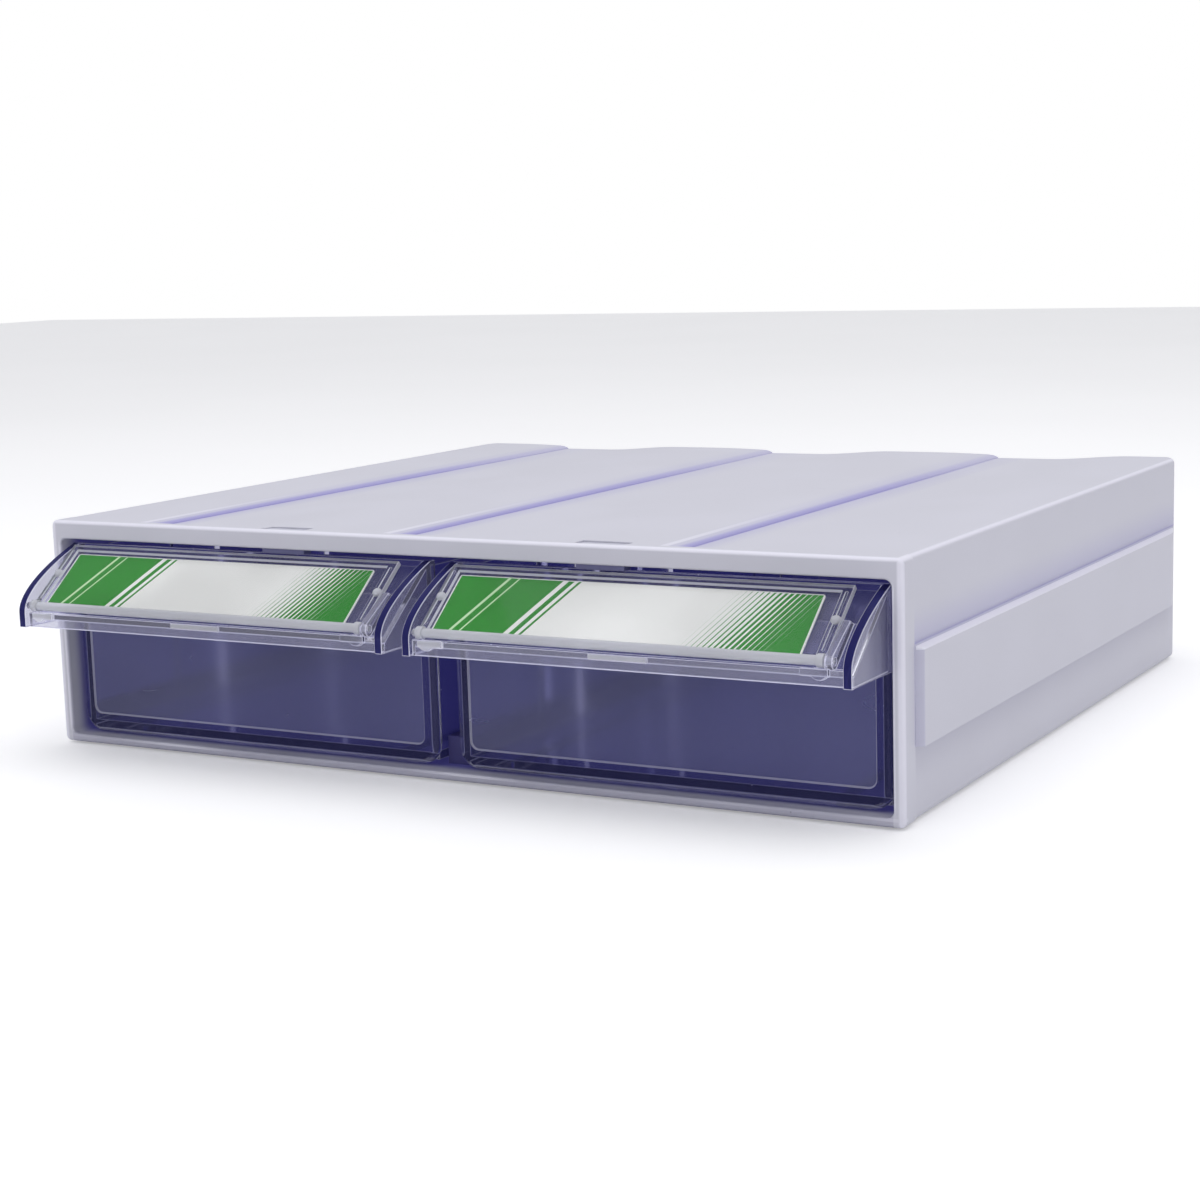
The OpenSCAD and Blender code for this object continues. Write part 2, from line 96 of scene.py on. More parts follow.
@dataclass
class Shell:
    """A closed surface: its points in metres and its faces as tuples of point numbers."""

    points: np.ndarray
    faces: list[tuple[int, ...]]

    def facing_out(self) -> "Shell":
        """Turns the faces outwards.

        The signed volume is the sum, over a fan of triangles in each face, of the corners'
        triple product divided by six. It is negative when the faces point inwards.

        Returns:
            The shell, with its faces reversed if they pointed inwards.
        """
        fans = [(f[0], f[k], f[k + 1]) for f in self.faces for k in range(1, len(f) - 1)]
        a, b, c = (self.points[np.array(fans)[:, k]] for k in range(3))
        if np.einsum("ij,ij->", a, np.cross(b, c)) < 0:
            self.faces = [f[::-1] for f in self.faces]
        return self


def merged(shells: Sequence[Shell]) -> Shell:
    """Puts several shells into one, which keep their own points and faces.

    Args:
        shells: The shells, each already facing outwards.

    Returns:
        One shell with all their points and faces.
    """
    starts = np.cumsum([0] + [len(s.points) for s in shells])
    faces = [tuple(int(i + start) for i in f) for s, start in zip(shells, starts) for f in s.faces]
    return Shell(np.concatenate([s.points for s in shells]), faces)


def loft(rings: np.ndarray) -> Shell:
    """Joins closed rings in order, and closes the first and the last with a flat face.

    Args:
        rings: Points with shape (rings, points in a ring, 3), in millimetres.

    Returns:
        A closed shell in metres.
    """
    count, size, _ = rings.shape
    i, j = np.meshgrid(np.arange(count - 1), np.arange(size), indexing="ij")
    k = (j + 1) % size
    quads = np.stack([i * size + j, i * size + k, (i + 1) * size + k, (i + 1) * size + j], -1)
    faces = [tuple(q) for q in quads.reshape(-1, 4).tolist()]
    faces.append(tuple(range(size))[::-1])
    faces.append(tuple(range((count - 1) * size, count * size)))
    return Shell(rings.reshape(-1, 3) * MM, faces).facing_out()


def sheet_between(upper: np.ndarray, lower: np.ndarray) -> Shell:
    """Closes the space between two grids of points: a row of one and of the other make a ring."""
    return loft(np.concatenate([upper, lower[:, ::-1]], axis=1))


def smooth_step(t: np.ndarray) -> np.ndarray:
    """Goes from 0 to 1 as t does, as t * t * (3 - 2 * t), and stays flat outside."""
    return np.clip(t, 0, 1) ** 2 * (3 - 2 * np.clip(t, 0, 1))


def corner_arcs(x0: float, x1: float, z0: float, z1: float, r: float, steps: int) -> list[np.ndarray]:
    """The corners of a round rectangle, anticlockwise from the lower right.

    Each is a quarter circle, its centre plus r * (cos a, sin a).

    Args:
        x0: X of its left side.
        x1: X of its right side.
        z0: Z of its lower side.
        z1: Z of its upper side.
        r: Radius of the corners.
        steps: Segments in each corner.

    Returns:
        Four arrays of X and Z with shape (steps + 1, 2).
    """
    a = np.linspace(0, QUARTER, steps + 1)
    centres = [(x1 - r, z0 + r, a - QUARTER), (x1 - r, z1 - r, a),
               (x0 + r, z1 - r, a + QUARTER), (x0 + r, z0 + r, a + math.pi)]
    return [np.stack([x + r * np.cos(t), z + r * np.sin(t)], 1) for x, z, t in centres]


def soft_bar(low: Corner, high: Corner, r: float) -> Shell:
    """A bar with every edge rounded: a round rectangle carried along Y.

    Near each end the outline shrinks by r * (1 - sin t) while Y moves by r * (1 - cos t), so the
    end edges are quarter circles too.

    Args:
        low: Lowest corner in millimetres.
        high: Highest corner in millimetres.
        r: Radius of the edges.

    Returns:
        The bar's shell.
    """
    t = np.linspace(0.15, 1, 4) * QUARTER
    inset = np.concatenate([r * (1 - np.sin(t)), r * (1 - np.sin(t[::-1]))])
    y = np.concatenate([low[1] + r * (1 - np.cos(t)), high[1] - r * (1 - np.cos(t[::-1]))])
    rings = []
    for e, depth in zip(inset, y):
        loop = np.concatenate(corner_arcs(low[0] + e, high[0] - e, low[2] + e, high[2] - e,
                                          1.02 * r - e, 4))
        rings.append(np.stack([loop[:, 0], np.full(len(loop), depth), loop[:, 1]], 1))
    return loft(np.array(rings))


def turned(profile: np.ndarray, centre: Sequence[float], steps: int = 32) -> Shell:
    """A body of revolution about a line along X: a profile turned through a full circle.

    Args:
        profile: Pairs of place along X and radius, in millimetres.
        centre: Y and Z of the line.
        steps: Points around.

    Returns:
        The body's shell.
    """
    a = np.linspace(0, 2 * math.pi, steps, endpoint=False)
    x, r = profile[:, :1], profile[:, 1:]
    grid = [np.broadcast_to(x, (len(x), steps)), centre[0] + r * np.cos(a), centre[1] + r * np.sin(a)]
    return loft(np.stack(grid, -1))


def make_piece(name: str, shell: Shell, finish: Material) -> Piece:
    """Makes a Blender object of a shell, smooth but for its crisp edges.

    Args:
        name: The piece's name.
        shell: Its surface.
        finish: Its material.

    Returns:
        The new object, linked to the scene.
    """
    mesh = bpy.data.meshes.new(name)
    mesh.from_pydata(shell.points, [], shell.faces)
    mesh.polygons.foreach_set("use_smooth", np.ones(len(mesh.polygons), bool))
    mesh.set_sharp_from_angle(angle=CRISP_ANGLE)
    mesh.update()
    mesh.materials.append(finish)
    return weigh_normals(linked(name, mesh))


def linked(name: str, mesh: bpy.types.Mesh) -> Piece:
    """Makes an object of a mesh and links it to the scene.

    Args:
        name: The object's name.
        mesh: Its mesh.

    Returns:
        The new object.
    """
    piece = bpy.data.objects.new(name, mesh)
    bpy.context.scene.collection.objects.link(piece)
    return piece


def weigh_normals(piece: Piece) -> Piece:
    """Lets the large faces set the shading at their edges, so flat faces look flat.

    Args:
        piece: The piece.

    Returns:
        The same piece.
    """
    weights = piece.modifiers.new("flat faces", "WEIGHTED_NORMAL")
    weights.keep_sharp = True
    weights.weight = 60
    return piece


def face_arrays(piece: Piece) -> tuple[np.ndarray, np.ndarray]:
    """Reads a piece's faces.

    Args:
        piece: The piece.

    Returns:
        The faces' centres in millimetres and their normals, each with shape (faces, 3).
    """
    polygons = piece.data.polygons
    centres, normals = np.empty((2, len(polygons) * 3))
    polygons.foreach_get("center", centres)
    polygons.foreach_get("normal", normals)
    return centres.reshape(-1, 3) / MM, normals.reshape(-1, 3)


def paint_faces(piece: Piece, finish: Material, chosen: np.ndarray) -> None:
    """Gives some faces of a piece a finish of their own.

    Args:
        piece: The piece.
        finish: Material of the chosen faces.
        chosen: A truth value for each face.
    """
    mesh = piece.data
    slots = np.empty(len(mesh.polygons), np.int32)
    mesh.polygons.foreach_get("material_index", slots)
    slots[chosen] = len(mesh.materials)
    mesh.materials.append(finish)
    mesh.polygons.foreach_set("material_index", slots)
    mesh.update()


def softened_copy(node: str, name: str, edge: float, finish: Material) -> Piece:
    """Copies a CAD node's mesh, merges it, and rounds its sharp edges a little.

    Args:
        node: The CAD node to copy.
        name: Name of the new piece.
        edge: Width of the rounding in millimetres.
        finish: Material of the new piece.

    Returns:
        The new piece.
    """
    mesh = frame["nodes"][node].data.copy()
    mesh.name = name
    work = bmesh.new()
    work.from_mesh(mesh)
    bmesh.ops.remove_doubles(work, verts=work.verts, dist=SAME_POINT)
    bmesh.ops.dissolve_degenerate(work, dist=SLIVER, edges=work.edges)
    bmesh.ops.dissolve_limit(work, angle_limit=FLAT_ANGLE, verts=work.verts, edges=work.edges)
    work.to_mesh(mesh)
    work.free()
    mesh.polygons.foreach_set("use_smooth", np.ones(len(mesh.polygons), bool))
    mesh.polygons.foreach_set("material_index", np.zeros(len(mesh.polygons), np.int32))
    mesh.materials.clear()
    mesh.materials.append(finish)
    piece = linked(name, mesh)
    bevel = piece.modifiers.new("soft edges", "BEVEL")
    bevel.width, bevel.segments = edge * MM, 2
    bevel.limit_method, bevel.angle_limit = "ANGLE", SOFTENED_ANGLE
    bevel.use_clamp_overlap = False
    bevel.miter_outer = "MITER_ARC"
    return weigh_normals(piece)


# ---- materials --------------------------------------------------------------------------------


class Place(NamedTuple):
    """Object coordinates: whole in metres, and one by one in millimetres."""

    at: Socket
    x: Socket
    y: Socket
    z: Socket


class Wiring:
    """Adds nodes to one node tree and links them."""

    def __init__(self, tree: bpy.types.NodeTree) -> None:
        """Starts from an empty tree."""
        self.tree = tree
        tree.nodes.clear()

    def add(self, kind: str, inputs: dict | None = None, **settings: object) -> Node:
        """Adds a node.

        Args:
            kind: The node's type, without the word ShaderNode.
            inputs: Input names or numbers, each with a socket to link or a value to set.
            **settings: Properties of the node.

        Returns:
            The new node.
        """
        node = self.tree.nodes.new("ShaderNode" + kind)
        for name, value in settings.items():
            setattr(node, name, value)
        for name, value in (inputs or {}).items():
            if isinstance(value, Socket):
                self.tree.links.new(value, node.inputs[name])
            else:
                node.inputs[name].default_value = value
        return node

    def math(self, operation: str, a: object, b: object = 0.0, clamp: bool = False) -> Socket:
        """One arithmetic step on two values or sockets."""
        return self.add("Math", {0: a, 1: b}, operation=operation, use_clamp=clamp).outputs[0]

    def chain(self, operation: str, values: Sequence[object]) -> Socket:
        """Takes the same arithmetic step through several values, from the first to the last.

        Args:
            operation: The step.
            values: Sockets or numbers.

        Returns:
            The result.
        """
        result = values[0]
        for value in values[1:]:
            result = self.math(operation, result, value)
        return result

    def product(self, *factors: object) -> Socket:
        """The product of several sockets or numbers."""
        return self.chain("MULTIPLY", factors)

    def greatest(self, *masks: object) -> Socket:
        """The greatest of several sockets or numbers."""
        return self.chain("MAXIMUM", masks)

    def ramp(self, value: Socket, start: float, end: float, low: float = 0.0,
             high: float = 1.0) -> Socket:
        """Turns a value into a smooth step from low at start to high at end."""
        inputs = {"Value": value, "From Min": start, "From Max": end, "To Min": low, "To Max": high}
        return self.add("MapRange", inputs, interpolation_type="SMOOTHSTEP").outputs["Result"]

    def fall(self, value: Socket, start: float, end: float, high: float = 1.0) -> Socket:
        """Turns a value into a smooth step from high at start down to 0 at end."""
        return self.ramp(value, start, end, high, 0.0)

    def inside(self, value: Socket, low: float, high: float, soft: float) -> Socket:
        """1 between low and high, fading to 0 over a soft distance on each side."""
        return self.product(self.ramp(value, low - soft, low), self.fall(value, high, high + soft))

    def blend(self, share: object, first: object, second: object) -> Socket:
        """Mixes two colours.

        Args:
            share: Socket or number, 0 for the first colour and 1 for the second.
            first: A colour or its socket.
            second: A colour or its socket.

        Returns:
            The mixed colour.
        """
        first, second = (c if isinstance(c, Socket) else (*c, 1.0) for c in (first, second))
        return self.add("Mix", {0: share, 6: first, 7: second}, data_type="RGBA").outputs[2]

    def place(self) -> Place:
        """Splits the Object coordinates.

        Returns:
            The coordinates, whole and one by one.
        """
        at = self.add("TexCoord").outputs["Object"]
        parts = self.add("SeparateXYZ", {0: at}).outputs
        return Place(at, *(self.product(part, 1 / MM) for part in parts))

    def noise(self, at: Socket, scale: object, detail: float = 2.0) -> Socket:
        """The value of a noise texture at a place in metres."""
        return self.add("TexNoise", {"Vector": at, "Scale": scale, "Detail": detail}).outputs[0]

    def bump(self, height: Socket, strength: float, relief: float) -> Socket:
        """The normal of a surface with a height on it, for a relief in millimetres."""
        inputs = {"Height": height, "Strength": strength, "Distance": relief * MM}
        return self.add("Bump", inputs).outputs[0]

    def mottled(self, tone: Socket, colour: Colour, share: float) -> Socket:
        """A colour that keeps only a share of its light in slow, dark marks."""
        return self.blend(self.ramp(tone, 0.3, 0.7), tuple(share * c for c in colour), colour)

    def group(self, name: str, inputs: dict) -> bpy.types.bpy_prop_collection:
        """Places a shared node group with its own values, and gives its outputs."""
        return self.add("Group", inputs, node_tree=bpy.data.node_groups[name]).outputs

    def send(self, node: Node, values: dict[str, Socket]) -> None:
        """Links sockets to a node's inputs by name."""
        for name, value in values.items():
            self.tree.links.new(value, node.inputs[name])

    def principled(self, inputs: dict) -> None:
        """Ends a material with one Principled shader."""
        shader = self.add("BsdfPrincipled", inputs)
        self.send(self.add("OutputMaterial"), {"Surface": shader.outputs[0]})


def new_group(name: str, inputs: dict[str, float], outputs: Sequence[str]) -> tuple[Wiring, dict, Node]:
    """Starts a shader node group with float inputs and outputs and a Vector input.

    Args:
        name: The group's name.
        inputs: Each float input and its default.
        outputs: Names of the float outputs.

    Returns:
        The group's wiring, its input sockets by name, and its output node.
    """
    tree = bpy.data.node_groups.new(name, "ShaderNodeTree")
    new_socket = tree.interface.new_socket
    new_socket("Vector", in_out="INPUT", socket_type="NodeSocketVector")
    for key, value in inputs.items():
        new_socket(key, in_out="INPUT", socket_type="NodeSocketFloat").default_value = value
    for key in outputs:
        new_socket(key, in_out="OUTPUT", socket_type="NodeSocketFloat")
    wiring = Wiring(tree)
    given = tree.nodes.new("NodeGroupInput")
    return wiring, {s.name: s for s in given.outputs if s.name}, tree.nodes.new("NodeGroupOutput")


def build_grain_group() -> None:
    """Fine grain of a moulded surface: two octaves of noise for the relief, and slow, wide
    flow marks for the tone and the roughness."""
    w, given, out = new_group(GRAIN, {"Grain Size": 0.4, "Relief": 1.0}, ["Height", "Tone"])
    fine = w.noise(given["Vector"], w.math("DIVIDE", 1000.0, given["Grain Size"]))
    flow = w.noise(given["Vector"], 22.0, 1.0)
    w.send(out, {"Height": w.product(fine, given["Relief"]), "Tone": flow})


def build_wear_group() -> None:
    """Marks of handling: hair-thin scratches, from the thin zero lines of a stretched noise, and
    specks of dust, from the cores of scattered cells."""
    w, given, out = new_group(MARKS, {"Scratches": 0.3, "Dust": 0.2}, ["Scratches", "Dust"])
    at = given["Vector"]
    stretch = {"Vector": at, "Rotation": (0.5, 0.2, 0.9), "Scale": (14.0, 130.0, 60.0)}
    lines = w.noise(w.add("Mapping", stretch).outputs[0], 1.0, 1.0)
    off_line = w.math("ABSOLUTE", w.math("SUBTRACT", lines, 0.5))
    patches = w.ramp(w.noise(at, 31.0), 0.52, 0.66)
    cells = w.add("TexVoronoi", {"Vector": at, "Scale": 190.0}).outputs
    picked = w.ramp(w.add("SeparateColor", {0: cells["Color"]}).outputs[0], 0.9, 0.94)
    w.send(out, {"Scratches": w.product(w.fall(off_line, 0.0, 0.004), patches, given["Scratches"]),
                 "Dust": w.product(w.fall(cells["Distance"], 0.03, 0.07), picked, given["Dust"])})


def new_material(name: str) -> tuple[Material, Wiring]:
    """Starts a node material.

    Args:
        name: The material's name.

    Returns:
        The material, with no nodes, and its wiring.
    """
    material = bpy.data.materials.new(name)
    material.use_nodes = True
    return material, Wiring(material.node_tree)


@dataclass(frozen=True)
class Surface:
    """Grain and wear of a moulded surface.

    Attributes:
        grain: Size of the grain, in millimetres.
        scratches: Strength of the scratches.
        dust: Strength of the dust.
        flow: Share of the colour in the darkest flow marks.
        spread: How much rougher the flow marks are.
        dulling: How much rougher a scratch is.
        bump: Strength of the bump.
        relief: Height of the grain, in millimetres.
    """

    grain: float
    scratches: float
    dust: float
    flow: float
    spread: float
    dulling: float
    bump: float
    relief: float = 0.02

    def lay(self, w: Wiring, colour: Colour, roughness: float) -> tuple[Socket, Socket, Socket, Socket]:
        """Lays grain and wear over a plain colour.

        Args:
            w: Wiring of the material.
            colour: The plain colour.
            roughness: The plain roughness.

        Returns:
            The colour, the roughness, the normal and the mask of the dust.
        """
        at = w.place().at
        grain = w.group(GRAIN, {"Vector": at, "Grain Size": self.grain, "Relief": 1.0})
        marks = w.group(MARKS, {"Vector": at, "Scratches": self.scratches, "Dust": self.dust})
        rough = w.ramp(grain["Tone"], 0.2, 0.8, roughness, roughness + self.spread)
        rough = w.math("ADD", rough, w.product(marks["Scratches"], self.dulling))
        normal = w.bump(grain["Height"], self.bump, self.relief)
        return w.mottled(grain["Tone"], colour, self.flow), rough, normal, marks["Dust"]


SATIN = Surface(grain=0.5, scratches=0.35, dust=0.5, flow=0.975, spread=0.04, dulling=0.25, bump=0.35)
GLOSSY = Surface(grain=1.6, scratches=0.5, dust=0.25, flow=0.9, spread=0.03, dulling=0.2, bump=0.06)


@dataclass(frozen=True)
class SatinPlastic:
    """Opaque moulded plastic with a fine satin grain, with painted light, shade and glow laid on by
    masks.

    Attributes:
        name: Name of the material.
        body: Colour of the open surface.
        roughness: Roughness of the open surface.
        tints: Masks with a colour each: painted light and shade, laid over the body colour in order.
        glow: A mask and the colour of a painted glow: emission that stands in for light coming through
            the plastic.
        dirt: Colour of the dust specks.
        gloss: How strongly it reflects.
    """

    name: str
    body: Colour
    roughness: float
    tints: tuple[tuple[Mask, Colour], ...] = ()
    glow: tuple[Mask, Colour] | None = None
    dirt: Colour = (0.2, 0.2, 0.24)
    gloss: float = 0.36

    def material(self) -> Material:
        """Builds the material.

        Returns:
            The new material.
        """
        material, w = new_material(self.name)
        colour, rough, normal, dust = SATIN.lay(w, self.body, self.roughness)
        # Painted light and shade: each mask lays its colour over the body colour.
        for mask, tint in self.tints:
            colour = w.blend(mask(w), colour, tint)
        inputs = {"Base Color": w.blend(dust, colour, self.dirt), "Roughness": rough, "Normal": normal,
                  "Specular IOR Level": self.gloss}
        # Painted glow: an emission colour laid on by its mask.
        if self.glow:
            mask, light = self.glow
            inputs |= {"Emission Color": w.blend(mask(w), BLACK, light), "Emission Strength": 1.0}
        w.principled(inputs)
        return material


@dataclass(frozen=True)
class ClearPlastic:
    """Clear moulded plastic with a slight tint and haze, and a painted glow where one is given.

    Attributes:
        name: Name of the material.
        tint: Colour of the plastic.
        roughness: Roughness of the surface.
        clarity: Share of the light that passes, where the rest is scattered by haze.
        ior: Index of refraction.
        sheen_tint: Colour of its reflections.
        glow: Painted glow: emission that stands in for light led to this surface from the rest of the
            moulding.
        dimmer: Mask that sets how much of that painted glow shows.
    """

    name: str
    tint: Colour
    roughness: float
    clarity: float
    ior: float = 1.34
    sheen_tint: Colour = (0.8, 0.8, 1.0)
    glow: Colour = BLACK
    dimmer: Mask | None = None

    def material(self) -> Material:
        """Builds the material.

        Returns:
            The new material.
        """
        material, w = new_material(self.name)
        colour, rough, normal, dust = GLOSSY.lay(w, self.tint, self.roughness)
        # Painted glow: emission, dimmed by a mask where one is given.
        glow = w.blend(self.dimmer(w), BLACK, self.glow) if self.dimmer else (*self.glow, 1.0)
        w.principled({"Base Color": colour, "Roughness": w.math("ADD", rough, dust), "Normal": normal,
                      "IOR": self.ior, "Transmission Weight": self.clarity,
                      "Specular Tint": (*self.sheen_tint, 1.0), "Emission Color": glow,
                      "Emission Strength": 1.0})
        return material


@dataclass(frozen=True)
class PrintedCard:
    """A label card printed in green on off-white coated paper, laid out on the piece's UV map.

    U runs along the card and V up the slope, both from 0 to 1. All bars lean by the same share
    of V, and places and widths are shares of the card's length.

    Attributes:
        name: Name of the material.
        paper: Colour of the bare paper.
        ink: Colour of the full ink.
        line: Colour of the thin light lines in the ink.
        fibre: Colour of the paper's fibres.
        lean: How far the bars lean.
        block: Start and end of the edge of the printed block.
        slats: Starts and ends of the bars beside the block.
        lines: Starts and ends of the light lines.
        screen: Where the screen of bars starts, and where it is full.
        pitch: Number of screen bars in the card's length.
        blur: Softness of the bars' edges.
        haze: Strength of the fibres.
        gloss: How strongly the card reflects.
        glow: Painted glow that brightens the card: emission at a share of its colour.
    """

    name: str
    paper: Colour
    ink: Colour
    line: Colour
    fibre: Colour = (0.45, 0.46, 0.44)
    lean: float = 0.1
    block: tuple[float, float] = (0.2, 0.203)
    slats: tuple[tuple[float, float], ...] = ((0.218, 0.232), (0.246, 0.252))
    lines: tuple[tuple[float, float], ...] = ((0.045, 0.052), (0.075, 0.078))
    screen: tuple[float, float] = (0.66, 0.93)
    pitch: float = 70.0
    blur: float = 0.002
    haze: float = 0.08
    gloss: float = 0.15
    glow: float = 0.15

    def material(self) -> Material:
        """Builds the material.

        Returns:
            The new material.
        """
        material, w = new_material(self.name)
        u, v = w.add("SeparateXYZ", {0: w.add("UVMap", uv_map="print").outputs[0]}).outputs[:2]
        along = w.math("SUBTRACT", u, w.product(v, self.lean))
        slats, lines = ([w.inside(along, *ends, self.blur) for ends in bars]
                        for bars in (self.slats, self.lines))
        screen = w.math("LESS_THAN", w.math("FRACT", w.product(along, self.pitch)),
                        w.ramp(along, *self.screen))
        ink = w.product(w.greatest(w.fall(along, *self.block), *slats, screen),
                        w.inside(u, 0.005, 0.995, 0.001), w.inside(v, 0.025, 0.985, 0.004))
        colour = w.blend(ink, self.paper, self.ink)
        colour = w.blend(w.chain("ADD", lines), colour, self.line)
        fibre = w.noise(w.place().at, 2400.0)
        colour = w.blend(w.ramp(fibre, 0.3, 0.8, 0.0, self.haze), colour, self.fibre)
        # The card's emission is a painted glow that brightens it.
        w.principled({"Base Color": colour, "Roughness": w.ramp(fibre, 0.2, 0.8, 0.38, 0.5),
                      "Normal": w.bump(fibre, 0.2, 0.01), "Specular IOR Level": self.gloss,
                      "Emission Color": colour, "Emission Strength": self.glow})
        return material


# ---- sub-assemblies ---------------------------------------------------------------------------


class Station(NamedTuple):
    """One stop of the case's outline on its path.

    The outline has a depth, half a width, a lower and an upper height, a corner radius, and the
    share of the channels' depth that is pressed into its top.
    """

    y: float
    half: float
    low: float
    high: float
    r: float
    share: float


@dataclass(frozen=True)
class Shading:
    """How far the case's painted shade and painted highlights reach, in millimetres, and how strong
    they are.

    Attributes:
        steep: Reach of the painted shade on a channel's steep side, before and behind its foot.
        glow: Reach and strength of the soft halo of painted shade there.
        to_rear: How much wider a crease's painted shade is at the rear, and how strong.
        line: Height and strength of the painted shade line above a side strip.
        halo: Height and strength of the halo of painted shade above it.
        end: Softness and strength of the painted shade at its front end.
        below: Height and strength of the shade below it.
        sill: Strength of the shade along the upper side of the floor's front edge.
        shoulder: Ends of the lit shoulder beside a channel, from its foot.
        shoulder_run: How far back the shoulder is lit, and how strong.
        patches: Frequency of the lit patches along the floor's front edge.
    """

    steep: tuple[float, float] = (3.6, 0.9)
    glow: tuple[float, float, float] = (9.0, 10.0, 0.3)
    to_rear: tuple[float, float] = (2.0, 0.45)
    line: tuple[float, float] = (2.0, 0.6)
    halo: tuple[float, float] = (13.0, 0.34)
    end: tuple[float, float] = (0.8, 0.2)
    below: tuple[float, float] = (15.0, 0.2)
    sill: float = 0.4
    shoulder: tuple[float, float] = (-6.5, -5.0)
    shoulder_run: tuple[float, float] = (140.0, 0.7)
    patches: float = 11.0


@dataclass
class CaseShell:
    """The case: collar, header, walls, stacking channels, side strips, ridges and runners.

    Y runs back from the front face and Z up from the ground, as in the CAD source.

    Attributes:
        half_w: Half the width over the collar.
        depth: Depth from the front face to the back.
        low: Height of the underside.
        high: Height of the top.
        panel_setback: How far the side walls lie in from the collar.
        collar_d: Depth of the collar.
        wall: Thickness of the case's sides, at the collar.
        floor_z: Height of the floor's upper side.
        opening_z: Height of the opening's upper edge, under the header.
        ceiling_z: Height of the ceiling behind the header.
        back: Thickness of the back.
        edge_r: Radius of the long edges.
        rear_r: Radius of the upright rear edges.
        opening_r: Radius of the opening's corners.
        front_round: Rounding of the front face's outer edge.
        inner_round: Rounding of the opening's edge.
        rear_round: Rounding of the rear's upper and lower edge.
        channel_feet: X of each channel's foot, where its steep side meets its flat.
        channel_w: Width of a channel's flat.
        channel_ramp: Width of its slow side.
        channel_depth: Depth of a channel.
        channel_start: Where the channels start, behind the front face.
        fall_w: How far before a foot the top starts to fall.
        fall_depth: How far it has fallen at the shoulder.
        shoulder_w: Width of the steep shoulder.
        strip_low: Height of a side strip's lower edge.
        strip_high: Height of its upper edge.
        strip_bevel: Width of its bevels.
        strip_tail: Length of its slope at the rear.
        strip_proud: How far it stands out past the collar.
        buried: How far a part reaches into the one that carries it.
        clip_x: Distance of a stop clip from the middle.
        pocket_half: Half the width of a clip's pocket in the top.
        pocket_y: Front and rear edge of the pocket.
        pocket_z: Height of its bottom.
        step: Half the width of a pocket's steep walls in the mesh.
        rail_centres: Distance of the rails from the middle, on both sides.
        rail_half: Half the width of a rail.
        rail_h: Height of a rail.
        rail_start: Where the rails start.
        guide_w: Width of a side guide.
        guide_h: Height of the guides.
        guide_start: Where the guides start.
        middle_half: Half the width of the centre guide.
        ridge_end: How far the ridges stay from the front and the rear.
        ridge_play: Play of a ridge in a channel, on each side.
        shading: Reach and strength of the painted shade and painted highlights.
    """

    half_w: float = 170.0
    depth: float = 310.0
    low: float = 0.8
    high: float = 85.0
    panel_setback: float = 0.8
    collar_d: float = 9.0
    wall: float = 4.0
    floor_z: float = 3.8
    opening_z: float = 78.2
    ceiling_z: float = 81.0
    back: float = 3.0
    edge_r: float = 2.2
    rear_r: float = 6.0
    opening_r: float = 2.5
    front_round: float = 1.5
    inner_round: float = 0.7
    rear_round: float = 1.2
    channel_feet: tuple[float, ...] = (-125.0, -17.0, 91.0)
    channel_w: float = 22.0
    channel_ramp: float = 38.0
    channel_depth: float = 1.9
    channel_start: float = 4.0
    fall_w: float = 28.0
    fall_depth: float = 0.4
    shoulder_w: float = 6.0
    strip_low: float = 25.0
    strip_high: float = 57.0
    strip_bevel: float = 1.3
    strip_tail: float = 12.6
    strip_proud: float = 2.6
    buried: float = 0.6
    clip_x: float = 64.0
    pocket_half: float = 9.3
    pocket_y: tuple[float, float] = (2.1, 8.1)
    pocket_z: float = 83.35
    step: float = 0.06
    rail_centres: tuple[float, ...] = (23.0, 145.0)
    rail_half: float = 1.5
    rail_h: float = 1.7
    rail_start: float = 8.5
    guide_w: float = 2.5
    guide_h: float = 10.0
    guide_start: float = 12.0
    middle_half: float = 4.5
    ridge_end: float = 10.0
    ridge_play: float = 1.0
    shading: Shading = Shading()

    @property
    def front(self) -> float:
        """Y of the front face from the frame's origin."""
        return -self.depth / 2

    @property
    def panel(self) -> float:
        """Half the width over the side walls, behind the collar."""
        return self.half_w - self.panel_setback

    def channel(self, x: np.ndarray) -> np.ndarray:
        """Depth of the stacking channels below the top at x.

        Measured from a channel's foot, the top first falls as a square over fall_w, then rounds
        over as a quarter ellipse shoulder_w wide, lies flat for channel_w, and comes back up as
        half a cosine wave over channel_ramp.

        Args:
            x: Places across the case in millimetres.

        Returns:
            Depths in millimetres, of the same shape.
        """
        depth = np.zeros_like(x)
        for foot in self.channel_feet:
            s = x - foot
            falling = np.clip((s + self.fall_w) / (self.fall_w - self.shoulder_w), 0, 1)
            fall = self.fall_depth * falling**2
            over = np.clip((s + self.shoulder_w) / self.shoulder_w, 0, 1)
            round_over = (self.channel_depth - self.fall_depth) * (1 - np.sqrt(1 - over**2))
            up = np.clip((s - self.channel_w) / self.channel_ramp, 0, 1)
            ramp = self.channel_depth * (1 + np.cos(math.pi * up)) / 2
            depth = np.maximum(depth, np.where(s < 0, fall + round_over, ramp))
        return depth

    def columns(self) -> np.ndarray:
        """Places across the top: every 4 mm, and close together at shoulders and pockets.

        Returns:
            The places in order, more than 0.03 mm apart.
        """
        places = [np.linspace(-157, 157, 80)]
        for foot in self.channel_feet:
            places.append(foot - self.shoulder_w * (1 - np.sin(np.linspace(0, QUARTER, 12))))
            places.append(foot + np.array([0.05, 0.4, 1.0]))
        for side in (-1, 1):
            edge = self.pocket_half + np.array([-self.step, self.step])
            places.append(side * self.clip_x + np.concatenate([-edge, edge]))
        found = np.unique(np.round(np.concatenate(places), 3))
        return found[np.concatenate([[True], np.diff(found) > 0.03])]

